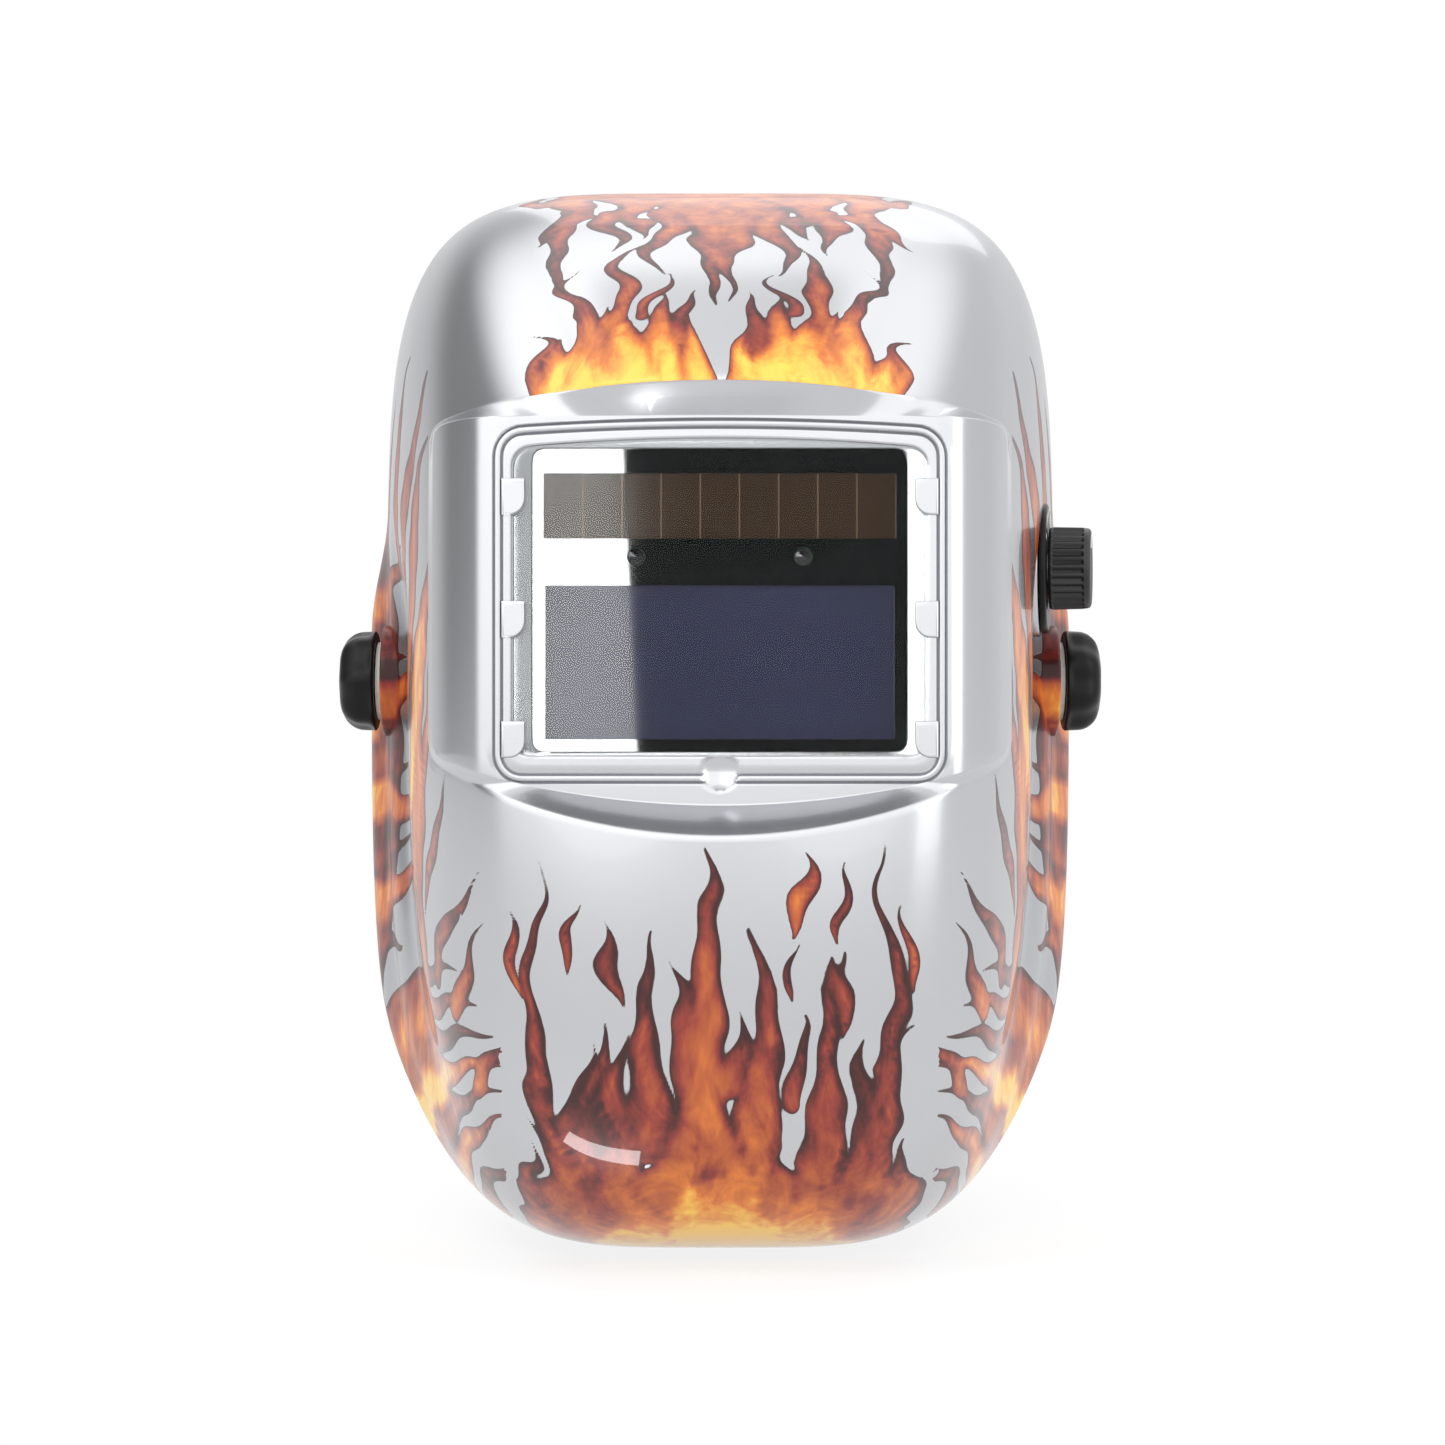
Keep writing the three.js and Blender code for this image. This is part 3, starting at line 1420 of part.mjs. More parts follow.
// A rack above (level 1) or below (level -1) the pinion; its root is on the given side
function makeRack(side, level) {
  const pitch = (2 * Math.PI * pinion.pitchRadius) / pinion.teeth;
  const tipZ = pinion.pitchRadius - pinion.toothHalfHeight + touch;
  const rootZ = pinion.pitchRadius + pinion.toothHalfHeight + touch;
  const top = rootZ + rack.height;
  const hand = side * level;
  const inner = -hand * rack.reach;
  const outer = hand * (rearBand.endX - touch);
  const [x0, x1] = [Math.min(inner, outer), Math.max(inner, outer)];
  const outline = new THREE.Shape();
  outline.moveTo(x0, top);
  outline.lineTo(x0, rootZ);
  const first = Math.ceil((x0 + half(pitch)) / pitch - 0.5);
  const last = Math.floor((x1 - half(pitch)) / pitch - 0.5);
  for (let k = first; k <= last; k += 1) {
    const middle = (k + 0.5) * pitch;
    outline.lineTo(middle - pitch * rack.toothShare, rootZ);
    outline.lineTo(middle - half(pitch * rack.toothShare), tipZ);
    outline.lineTo(middle + half(pitch * rack.toothShare), tipZ);
    outline.lineTo(middle + pitch * rack.toothShare, rootZ);
  }
  outline.lineTo(x1, rootZ);
  outline.lineTo(x1, top);
  outline.closePath();
  const body = frontPlate(outline, rackMiddle - half(rack.thickness), rackMiddle + half(rack.thickness), 1);
  if (level < 0) {
    body.translate(0, -rackMiddle, 0);
    body.rotateY(Math.PI);
    body.translate(0, rackMiddle, 0);
  }
  return outward(body.translate(0, 0, ratchet.level));
}

const knobFront = ratchetBack + touch;
const knobBack = knobFront + ratchetKnob.length;

function makeRatchetKnob() {
  const place = new THREE.Vector3(0, 0, ratchet.level);
  const outline = new THREE.Shape();
  const count = ratchetKnob.grips * 4;
  for (let k = 0; k < count; k += 1) {
    const angle = (k / count) * 2 * Math.PI;
    const reach = ratchetKnob.radius - ratchetKnob.gripDepth * half(1 - Math.cos(ratchetKnob.grips * angle));
    const [x, z] = [reach * Math.cos(angle), ratchet.level + reach * Math.sin(angle)];
    if (k === 0) outline.moveTo(x, z);
    else outline.lineTo(x, z);
  }
  outline.closePath();
  const grip = frontPlate(outline, knobFront, knobBack - ratchetKnob.chamfer, 1);
  const capRadius = ratchetKnob.radius - ratchetKnob.gripDepth;
  const cap = turned(
    [
      [knobBack - 2 * ratchetKnob.chamfer, 0],
      [knobBack - 2 * ratchetKnob.chamfer, capRadius],
      [knobBack - ratchetKnob.chamfer, capRadius],
      [knobBack, capRadius - ratchetKnob.chamfer],
      [knobBack, 0],
    ],
    place,
    backward,
    36,
  );
  const cup = rod(ratchetKnob.cup, knobFront - overrun, knobFront + ratchetKnob.cupDepth, place, backward, 24);
  const core = rod(
    detent.hole - touch,
    ratchetBack + detent.thickness + 3 * touch,
    knobFront + ratchetKnob.cupDepth + overrun,
    place,
    backward,
    24,
  );
  const bore = rod(screw.radius + touch, knobFront, knobBack + overrun, place, backward, 16);
  const counterbore = rod(
    screw.head + touch,
    knobBack - screw.headThickness - touch,
    knobBack + overrun,
    place,
    backward,
    20,
  );
  return cutBy(joined(cutBy(joined(grip, cap), cup), core), bore, counterbore);
}

function makePinionScrew() {
  const headFront = knobBack - screw.headThickness;
  const profile = [
    [rackMiddle, 0],
    [rackMiddle, screw.radius],
    [headFront, screw.radius],
    [headFront, screw.head],
    [headFront + half(screw.headThickness), screw.head],
    [headFront + screw.headThickness - touch, half(screw.head)],
    [headFront + screw.headThickness - touch, 0],
  ];
  return turned(profile, new THREE.Vector3(0, 0, ratchet.level), backward, 16);
}

function makeDetentSpring() {
  const place = new THREE.Vector3(0, 0, ratchet.level);
  const front = ratchetBack + touch;
  const disc = ring(detent.hole, half(detent.radius), front, front + detent.thickness, place, backward, 24);
  const arms = block(
    around(0, 2 * detent.radius),
    [front, front + detent.thickness],
    around(ratchet.level, detent.arm),
  );
  const hole = rod(detent.hole, front - overrun, front + detent.thickness + overrun, place, backward, 24);
  return cutBy(joined(disc, arms), hole);
}

// Crowned pad in front of the ratchet cover, with drawn-in sides
function makeNapePad() {
  const back = ratchet.y - 2 * touch - ratchet.cover;
  const rings = 6;
  const columns = 24;
  const rows = [];
  for (let r = 0; r <= rings; r += 1) {
    const tilt = mix(0, half(Math.PI), r / rings);
    rows.push(Array.from({ length: columns }, (_, c) => {
      const turn = (c / columns) * 2 * Math.PI;
      const spread = r === 0 ? nape.backShare : Math.cos(tilt) ** nape.crownPower;
      const drawn = 1 - nape.waistShare * Math.cos(2 * turn) ** 2;
      return new THREE.Vector3(
        nape.halfWidth * spread * drawn * squared(Math.cos(turn), nape.outlinePower),
        back - nape.thickness * Math.sin(tilt) ** nape.risePower,
        ratchet.level + half(nape.height) * spread * drawn * squared(Math.sin(turn), nape.outlinePower),
      );
    }));
  }
  const positions = rows.slice(0, -1).flat().flatMap((point) => point.toArray());
  const apex = positions.length / 3;
  positions.push(0, back - nape.thickness, ratchet.level, 0, back, ratchet.level);
  const index = [];
  for (let c = 0; c < columns; c += 1) {
    const next = (c + 1) % columns;
    for (let r = 0; r + 1 < rings; r += 1) {
      const [a, b] = [r * columns + c, r * columns + next];
      index.push(a, b, a + columns, b, b + columns, a + columns);
    }
    index.push((rings - 1) * columns + c, (rings - 1) * columns + next, apex);
    index.push(next, c, apex + 1);
  }
  const geometry = new THREE.BufferGeometry();
  geometry.setAttribute('position', new THREE.Float32BufferAttribute(positions, 3));
  geometry.setIndex(index);
  return outward(geometry);
}

// Scene graph
const helmet = new THREE.Group();

function add(name, geometry, look, parent = helmet) {
  const mesh = new THREE.Mesh(geometry, new THREE.MeshStandardMaterial(look));
  mesh.name = name;
  parent.add(mesh);
}

function addPair(name, geometry, look) {
  add(`${name}_right`, geometry, look);
  add(`${name}_left`, mirrored(geometry), look);
}

add('shell', makeShell(), finish.silver);
add('cover_lens', makeCoverLens(), finish.clear);
add('filter_case_front', makeFilterCaseFront(), finish.black);
add('filter_case_back', makeFilterCaseBack(), finish.black);
add('shutter_glass', makeShutterGlass(), finish.glass);
add('solar_panel', makeSolarPanel(), finish.cells);
add('arc_sensor_right', makeArcSensor(1), finish.glass);
add('arc_sensor_left', makeArcSensor(-1), finish.glass);
add('circuit_board', makeCircuitBoard(), finish.green);
add('battery_right', makeBattery(1), finish.steel);
add('battery_left', makeBattery(-1), finish.steel);
add('sensitivity_knob', makeSensitivityKnob(), finish.darkGrey);
add('delay_switch', makeDelaySwitch(), finish.darkGrey);
add('inner_cover_lens', makeInnerCoverLens(), finish.clear);
add('retaining_frame', makeRetainingFrame(), finish.darkGrey);
addPair('retaining_clip', makeRetainingClip(), finish.steel);

add('shade_plate', makeShadePlate(), finish.black);
add('potentiometer', makePotentiometer(), finish.steel);
add('potentiometer_nut', makePotNut(), finish.steel);
add('potentiometer_shaft', makePotShaft(), finish.steel);
add('shade_knob', makeShadeKnob(), finish.black);
add('control_lead', makeControlLead(), finish.black);

addPair('friction_washer', makeFrictionWasher(), finish.nylon);
addPair('outer_washer', makeOuterWasher(), finish.nylon);
addPair('tilt_stop', makeTiltStop(), finish.darkGrey);
addPair('side_bracket', makeBracket(), finish.darkGrey);
addPair('pivot_bolt', makePivotBolt(), finish.black);
addPair('side_knob', makeSideKnob(), finish.black);
addPair('front_rivet', makeRivet(-1), finish.black);
addPair('rear_rivet', makeRivet(1), finish.black);

add('headband', makeHeadband(), finish.darkGrey);
add('sweatband', makeSweatband(), finish.fabric);
add('front_strap_right', makeStrapHalf(-1, 1, 1), finish.darkGrey);
add('front_strap_left', makeStrapHalf(-1, -1, 0), finish.darkGrey);
add('rear_strap_right', makeStrapHalf(1, 1, 1), finish.darkGrey);
add('rear_strap_left', makeStrapHalf(1, -1, 0), finish.darkGrey);
add('front_strap_stud', makeStud(-1), finish.black);
add('rear_strap_stud', makeStud(1), finish.black);

add('rear_band_right', makeRearBand(1), finish.darkGrey);
add('rear_band_left', makeRearBand(-1), finish.darkGrey);
add('rack_left', makeRack(-1, 1), finish.nylon);
add('rack_right', makeRack(1, -1), finish.nylon);
add('ratchet_housing', makeRatchetHousing(), finish.darkGrey);
add('ratchet_cover', makeRatchetCover(), finish.darkGrey);
add('nape_pad', makeNapePad(), finish.fabric);
add('detent_spring', makeDetentSpring(), finish.steel);
add('pinion', makePinion(), finish.nylon);
add('pinion_screw', makePinionScrew(), finish.steel);
add('ratchet_knob', makeRatchetKnob(), finish.black);

export default helmet;
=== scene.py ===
"""Looks of a lift-up welding helmet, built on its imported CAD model.

Sizes are in millimetres up to the moment a mesh is made, and in metres in Blender.
"""

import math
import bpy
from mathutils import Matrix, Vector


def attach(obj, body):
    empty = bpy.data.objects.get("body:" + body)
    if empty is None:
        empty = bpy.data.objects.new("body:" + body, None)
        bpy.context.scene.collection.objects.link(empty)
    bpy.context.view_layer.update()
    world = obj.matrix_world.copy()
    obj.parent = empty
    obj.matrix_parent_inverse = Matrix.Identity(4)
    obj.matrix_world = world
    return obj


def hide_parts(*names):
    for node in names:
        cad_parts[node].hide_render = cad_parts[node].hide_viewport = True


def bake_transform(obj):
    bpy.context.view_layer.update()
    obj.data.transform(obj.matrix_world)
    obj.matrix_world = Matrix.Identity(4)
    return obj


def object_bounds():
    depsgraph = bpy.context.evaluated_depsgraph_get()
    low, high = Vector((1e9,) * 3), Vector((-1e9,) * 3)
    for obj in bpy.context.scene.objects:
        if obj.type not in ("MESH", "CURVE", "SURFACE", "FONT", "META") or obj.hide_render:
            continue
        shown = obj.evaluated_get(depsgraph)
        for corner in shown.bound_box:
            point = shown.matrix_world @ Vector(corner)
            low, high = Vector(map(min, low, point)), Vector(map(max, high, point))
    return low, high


bl_info = {
    "name": "Welding helmet",
    "version": (1, 0, 0),
    "blender": (4, 5, 0),
    "location": "View3D > Sidebar > Helmet",
    "description": "Builds a lift-up welding helmet with a flame print on its packed model",
    "category": "Object",
}

import bpy
import numpy as np
from bpy.props import FloatProperty, FloatVectorProperty, IntProperty, PointerProperty
from bpy.types import Operator, Panel, PropertyGroup
from mathutils import Matrix, Vector

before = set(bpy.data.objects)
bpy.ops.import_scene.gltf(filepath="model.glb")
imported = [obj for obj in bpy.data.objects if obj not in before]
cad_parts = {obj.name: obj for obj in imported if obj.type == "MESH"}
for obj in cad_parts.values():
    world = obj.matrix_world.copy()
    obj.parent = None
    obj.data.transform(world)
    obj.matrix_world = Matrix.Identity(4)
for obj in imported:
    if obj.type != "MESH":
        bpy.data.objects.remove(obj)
CAD_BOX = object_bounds()
MM = 0.001
UP = (0.0, 0.0, 1.0)
HANDS = ((1, "right"), (-1, "left"))

# Shell skin, the same form as the solid's
HALF_WIDTH = 102.2
SIDE_FLARE = 0.24
CROWN_HEIGHT = 147.8
CROWN_FLARE = 0.1
FLARE_RUN = 80.0
CHIN_DROP = 162.5
CHEEK_REACH = 157.0
CHEEK_ROUNDNESS = 6.0
FOREHEAD = {"reach": 175.5, "roundness": 2.5, "square": 5.0, "front": 3.1, "start": 25.0, "over": 41.0}
JAW = {"reach": 160.0, "roundness": 5.0, "square": 4.4, "front": 3.6, "start": 10.0, "over": 75.0}
RIM = {"side": 45.0, "crown": 30.0, "chin": -105.0, "jaw_angle": 15.0, "jaw_sweep": 70.0}
LIP = {"height": 5.0, "ahead": 9.0, "run": 6.0, "half_length": 62.0, "slant": 10.0}
EAR = {
    "valley": 5.0,
    "valley_ahead": 30.0,
    "sweep": 238.0,
    "front_run": 30.0,
    "back_run": 15.0,
    "flare": 5.2,
    "flare_start": 30.0,
    "flare_run": 26.0,
    "top": 55.0,
    "top_fade": 40.0,
    "bottom": 150.0,
    "bottom_fade": 60.0,
}
PANEL = {"ahead": 148.0, "flat": 58.0, "edge": 80.4, "step": 1.6, "roll": 2.2}
BROW = {"edge": 77.0, "drop": 8.0, "ledge": 8.5, "side": 1.2}
CHIN = {"edge": -42.5, "rise": 20.0, "ledge": 7.7, "side": 1.2}

# Window, from its outer line inwards, and the bay behind it
FRAME = {"half": 59.4, "low": -28.2, "high": 64.7, "arch": 2.3, "corner": 7.0}
OPENING = {"half": 55.3, "low": -21.8, "high": 60.0, "arch": 2.6, "corner": 5.0}
SEAT = {"half": 50.0, "low": -20.5, "high": 60.2, "arch": 0.0, "corner": 3.0}
BAY = {"half": 55.4, "low": -25.55, "high": 65.25, "arch": 0.0, "corner": 2.0}
BAY_WALL = 2.0
GROOVE_Y = -147.2
SEAT_FRONT_Y = -143.2
SEAT_BACK_Y = -141.2
BAY_BACK_Y = -129.2
LENS_FRONT_Y = -145.0
LENS_BACK_Y = -143.5
TAB = {"inner": 51.6, "outer": 57.9, "height": 9.8, "corner": 4.4, "heights": (47.0, 14.5, -17.3)}
TAB_Y = -148.0
NOTCH = {"radius": 7.4, "ahead": 4.6, "z": -25.3}


def number(name, description, default):
    """A number that the panel shows."""
    return FloatProperty(name=name, description=description, default=default)


def colour_of(name, description, default):
    """A colour that the panel shows."""
    return FloatVectorProperty(name=name, description=description, subtype="COLOR", size=3, default=default)


class SkinSizes(PropertyGroup):
    """Sizes of the shell's moulding"""

    wall: number("Wall (mm)", "Thickness of the moulding", 2.5)
    columns: IntProperty(name="Columns", description="Points round the shell", default=312)
    rows: IntProperty(name="Rows", description="Rows from the rear rim to the ledges", default=82)
    fineness: IntProperty(name="Fineness", description="Cuts of a square beside a flame's outline", default=3)
    fine_reach: number("Fine reach (mm)", "How far from an outline squares are cut", 0.42)
    ledge_ease: number("Ledge ease (mm)", "Rounding of the ledges", 0.9)
    foot_ease: number("Foot ease (mm)", "Rounding where ledges meet the panel", 1.2)


class PaintColours(PropertyGroup):
    """Colours of the paint, the print and the plastics"""

    silver: colour_of("Silver", "Metallic paint", (0.53, 0.54, 0.56))
    soot: colour_of("Soot", "Outlines of the flames", (0.03, 0.009, 0.006))
    ember: colour_of("Ember", "Darkest red of the flames", (0.085, 0.008, 0.006))
    red: colour_of("Red", "Red of the flames", (0.215, 0.026, 0.014))
    orange: colour_of("Orange", "Orange of the flames", (0.56, 0.155, 0.02))
    yellow: colour_of("Yellow", "Yellow of the flames", (0.74, 0.47, 0.065))
    black: colour_of("Black plastic", "Knobs and plates", (0.006, 0.006, 0.0065))
    grey: colour_of("Dark plastic", "Headgear", (0.028, 0.029, 0.031))
    cloth: colour_of("Cloth", "Sweatband and nape pad", (0.02, 0.021, 0.024))
    filter_glass: colour_of("Filter glass", "Shutter of the cartridge", (0.031, 0.033, 0.06))
    cells: colour_of("Solar cells", "Strip of cells", (0.036, 0.022, 0.014))


class LightLevels(PropertyGroup):
    """Studio light"""

    room: number("Room", "Brightness of the room's light", 0.6)
    front: number("Front", "Brightness in front, between the soft boxes", 1.0)
    side: number("Sides", "Brightness beside the helmet", 0.26)
    left: number("Left", "Added by the soft box on the left", 0.95)
    right: number("Right", "Added by the soft box on the right", 0.7)
    key: number("Key (W)", "Soft light above and to the left", 4.0)
    fill: number("Fill (W)", "Soft lights on the right and behind", 3.0)
    gleam: number("Gleam (W)", "Small soft box under the chin, seen in gloss", 0.022)
    window: number("Window", "Brightness of the soft box seen past the lens", 6.5)


# Maths on arrays


def mix(a, b, share):
    return a + (b - a) * share


def smooth(t):
    """3t^2 - 2t^3, with t held between 0 and 1."""
    t = np.clip(t, 0.0, 1.0)
    return t * t * (3.0 - 2.0 * t)


def soft_max(a, b, reach):
    """The larger of two values, with the corner between them rounded over a reach."""
    blend = np.maximum(reach - np.abs(a - b), 0.0) / reach
    return np.maximum(a, b) + blend * blend * reach / 4.0


def lean(y):
    """(y - sqrt(y^2 + run^2) + run) / 2: a flare that straightens behind the pivot."""
    return (y - np.hypot(y, FLARE_RUN) + FLARE_RUN) / 2.0


def rim_depth(angle):
    """Depth of the rear rim: level at the ears, far forward under the jaw and a little at the crown."""
    degrees = np.degrees(np.arctan2(np.sin(angle), np.abs(np.cos(angle))))
    below = smooth((-degrees - RIM["jaw_angle"]) / RIM["jaw_sweep"])
    above = smooth(degrees / 90.0)
    return RIM["side"] + (RIM["chin"] - RIM["side"]) * below + (RIM["crown"] - RIM["side"]) * above


def front_of(angle):
    """How far forward the skin reaches and how round it is there, by the angle above or below the pivot."""
    up = np.sin(angle) > 0
    degrees = np.degrees(np.arcsin(np.abs(np.sin(angle))))
    start = np.where(up, FOREHEAD["start"], JAW["start"])
    over = np.where(up, FOREHEAD["over"], JAW["over"])
    share = smooth((degrees - start) / over)
    reach = mix(CHEEK_REACH, np.where(up, FOREHEAD["reach"], JAW["reach"]), share)
    roundness = mix(CHEEK_ROUNDNESS, np.where(up, FOREHEAD["roundness"], JAW["roundness"]), share)
    return reach, roundness, up


def skin_radius(angle, y):
    """Superellipse section (|cos|/w)^n + (|sin|/h)^n, times (1 - (-y/reach)^m)^(1/m), with the ears' scoop
    and flare and the lip of the crown added."""
    reach, roundness, up = front_of(angle)
    ahead = np.clip(-y / reach, 0.0, 1.0)
    across = np.abs(np.cos(angle))
    upward = np.abs(np.sin(angle))
    width = HALF_WIDTH + SIDE_FLARE * lean(y)
    height = np.where(up, CROWN_HEIGHT + CROWN_FLARE * lean(y), CHIN_DROP)
    square = mix(
        np.where(up, FOREHEAD["square"], JAW["square"]),
        np.where(up, FOREHEAD["front"], JAW["front"]),
        ahead**2,
    )
    section = ((across / width) ** square + (upward / height) ** square) ** (-1.0 / square)
    radius = section * (1.0 - ahead**roundness) ** (1.0 / roundness)
    z = radius * np.sin(angle)
    behind = y + EAR["valley_ahead"] + np.minimum(0.0, z) ** 2 / EAR["sweep"]
    run = np.where(behind < 0, EAR["front_run"], EAR["back_run"])
    fade = smooth((EAR["top"] - z) / EAR["top_fade"]) * smooth((z + EAR["bottom"]) / EAR["bottom_fade"])
    flare = EAR["flare"] * smooth((behind - EAR["flare_start"]) / EAR["flare_run"])
    scoop = EAR["valley"] * np.exp(-((behind / run) ** 2))
    ends = 1.0 - smooth((np.abs(radius * np.cos(angle)) - LIP["half_length"]) / LIP["slant"])
    rise = smooth((y - rim_depth(angle) + LIP["ahead"]) / LIP["run"])
    lip = np.where(up, LIP["height"] * ends * rise, 0.0)
    return radius + fade * (flare - scoop) + lip


def skin_point(angle, y):
    radius = skin_radius(angle, y)
    return np.stack([radius * np.cos(angle), y + 0.0 * radius, radius * np.sin(angle)], -1)


def skin_depth(angle, radius):
    """Depth at which the skin has a radius, by halving."""
    front = -front_of(angle)[0]
    back = rim_depth(angle)
    for _ in range(60):
        middle = (front + back) / 2.0
        inside = skin_radius(angle, middle) < radius
        front = np.where(inside, middle, front)
        back = np.where(inside, back, middle)
    return back


def skin_x(y, z):
    """Half width of the skin at a depth and height, by repeated aiming."""
    x = HALF_WIDTH
    for _ in range(24):
        angle = math.atan2(z, x)
        x = float(skin_radius(np.array([angle]), np.array([y]))[0]) * math.cos(angle)
    return x


def reach_of(angle, field):
    """Largest radius along each angle at which a field is still negative, by halving."""
    low = np.zeros_like(angle)
    high = np.full_like(angle, CHIN_DROP + CROWN_HEIGHT)
    for _ in range(48):
        middle = (low + high) / 2.0
        inside = field(middle * np.cos(angle), middle * np.sin(angle)) < 0
        low = np.where(inside, middle, low)
        high = np.where(inside, high, middle)
    return low


def ledge_lines(x):
    """Heights of the brow ledge's edge and foot and of the chin ledge's, at x."""
    share = np.minimum(1.0, (x / PANEL["edge"]) ** 2)
    brow_edge = BROW["edge"] - BROW["drop"] * share
    chin_edge = CHIN["edge"] + CHIN["rise"] * share
    brow_foot = brow_edge - mix(BROW["ledge"], BROW["side"], share)
    chin_foot = chin_edge + mix(CHIN["ledge"], CHIN["side"], share)
    return brow_edge, brow_foot, chin_edge, chin_foot


def edge_field(x, z):
    """Negative inside the outer edge of the ledges, with its corners rounded."""
    brow_edge, _, chin_edge, _ = ledge_lines(x)
    return soft_max(soft_max(z - brow_edge, chin_edge - z, 4.0), np.abs(x) - PANEL["edge"], 5.0)


def foot_field(x, z):
    """Negative inside the foot of the ledges, with its corners rounded."""
    _, brow_foot, _, chin_foot = ledge_lines(x)
    beside = np.abs(x) - PANEL["edge"] + PANEL["step"]
    return soft_max(soft_max(z - brow_foot, chin_foot - z, 4.0), beside, 4.0)


def window_field(window, grow=0.0):
    """Negative inside a rounded rectangle with an arched top, grown by a margin."""

    def field(x, z):
        top = window["high"] + window["arch"] * (1.0 - (x / window["half"]) ** 2) + grow
        bottom = window["low"] - grow
        corner = max(window["corner"] + grow, 0.3)
        beyond_x = np.abs(x) - window["half"] - grow + corner
        beyond_z = np.abs(z - (top + bottom) / 2.0) - (top - bottom) / 2.0 + corner
        outside = np.hypot(np.maximum(beyond_x, 0.0), np.maximum(beyond_z, 0.0))
        return outside + np.minimum(np.maximum(beyond_x, beyond_z), 0.0) - corner

    return field


WINDOW_MIDDLE = (OPENING["low"] + OPENING["high"]) / 2.0
CHEEK_ANGLE = np.array([math.atan2(WINDOW_MIDDLE, PANEL["edge"])])
CHEEK_Y = float(skin_depth(CHEEK_ANGLE, np.array([math.hypot(WINDOW_MIDDLE, PANEL["edge"])]))[0])


def panel_depth(x):
    """Flat round the window, then rolling back to the cheeks as a power of the distance."""
    share = np.maximum(0.0, np.abs(x) - PANEL["flat"]) / (PANEL["edge"] - PANEL["flat"])
    return -PANEL["ahead"] + (CHEEK_Y + PANEL["ahead"]) * share ** PANEL["roll"]


# Meshes


def put_mesh(name, points, faces, sharp=38.0):
    """A mesh object from points in millimetres and faces that point outwards, with its sharp edges marked."""
    mesh = bpy.data.meshes.new(name)
    mesh.from_pydata((np.asarray(points, float) * MM).tolist(), [], faces)
    mesh.update()
    mesh.shade_smooth()
    mesh.set_sharp_from_angle(angle=math.radians(sharp))
    piece = bpy.data.objects.new(name, mesh)
    bpy.context.scene.collection.objects.link(piece)
    return piece


def facing_out(points, faces):
    """The faces, turned round if the volume they close, summed over fans of triangles, is negative."""
    sizes = np.array([len(face) for face in faces])
    volume = 0.0
    for size in np.unique(sizes):
        group = points[np.array([faces[i] for i in np.flatnonzero(sizes == size)])]
        for k in range(1, size - 1):
            volume += np.einsum("ij,ij->i", group[:, 0], np.cross(group[:, k], group[:, k + 1])).sum()
    return faces if volume > 0 else [face[::-1] for face in faces]


def patchwork(chosen, factor):
    """Faces on a grid of points [row, column] that closes round. Each chosen square is cut into factor by
    factor small ones. The squares beside it take the new points of the shared edge, so that no gap opens."""
    columns = chosen.shape[1]
    width = columns * factor

    def polygons(where, path):
        i, j = np.nonzero(where)
        numbers = [(i * factor + a) * width + (j * factor + b) % width for a, b in path]
        return np.stack(numbers, -1).tolist() if len(i) else []

    faces = []
    for a in range(factor):
        for b in range(factor):
            faces += polygons(chosen, [(a, b), (a, b + 1), (a + 1, b + 1), (a + 1, b)])
    none = np.zeros((1, columns), bool)
    beside = (
        np.vstack([none, chosen[:-1]]),
        np.roll(chosen, -1, 1),
        np.vstack([chosen[1:], none]),
        np.roll(chosen, 1, 1),
    )
    kind = sum(flag.astype(int) << place for place, flag in enumerate(beside))
    steps = range(1, factor)
    edges = (
        [(0, k) for k in steps],
        [(k, factor) for k in steps],
        [(factor, factor - k) for k in steps],
        [(factor - k, 0) for k in steps],
    )
    corners = ((0, 0), (0, factor), (factor, factor), (factor, 0))
    for pattern in range(16):
        path = []
        for place, (corner, edge) in enumerate(zip(corners, edges)):
            path.append(corner)
            path += edge if pattern >> place & 1 else []
        faces += polygons(~chosen & (kind == pattern), path)
    return faces


def loft(name, rows, around=False, sharp=38.0):
    """A closed surface through rings of points [ring, point, xyz]. Each ring joins the next. The ends are
    fanned to their middles, or joined to each other when the stack goes around."""
    rows = np.asarray(rows, float)
    count, size = rows.shape[:2]
    points = rows.reshape(-1, 3)
    here = np.arange(size)
    after = np.roll(here, -1)
    ring = (np.arange(count if around else count - 1) * size)[:, None]
    following = (ring + size) % (count * size)
    quads = np.stack([ring + here, ring + after, following + after, following + here], -1).reshape(-1, 4)
    faces = quads.tolist()
    if not around:
        end = (count - 1) * size
        points = np.concatenate([points, [rows[0].mean(0)], [rows[-1].mean(0)]])
        start_fan = np.stack([after, here, np.full(size, len(points) - 2)], -1)
        end_fan = np.stack([end + here, end + after, np.full(size, len(points) - 1)], -1)
        faces += start_fan.tolist() + end_fan.tolist()
    return put_mesh(name, points, facing_out(points, faces), sharp)


def eased(rows, widths, steps=4, around=False):
    """The rows with each corner C eased by the curve (1-t)^2 A + 2t(1-t) C + t^2 B, where A and B lie on the
    legs to the neighbouring rows at the given width from C. A width of nothing keeps the row."""
    rows = [np.asarray(row, float) for row in rows]
    kept = []
    for i, (row, width) in enumerate(zip(rows, widths)):
        if width <= 0 or (not around and i in (0, len(rows) - 1)):
            kept.append(row)
            continue
        legs = []
        for other in (rows[i - 1], rows[(i + 1) % len(rows)]):
            length = np.linalg.norm(other - row, axis=-1, keepdims=True)
            legs.append(row + (other - row) * np.minimum(width / np.maximum(length, 1e-6), 0.45))
        count = steps if width > 0.5 else max(2, steps // 2)
        for k in range(count + 1):
            t = k / count
            kept.append((1 - t) ** 2 * legs[0] + 2 * t * (1 - t) * row + t**2 * legs[1])
    return np.array(kept)


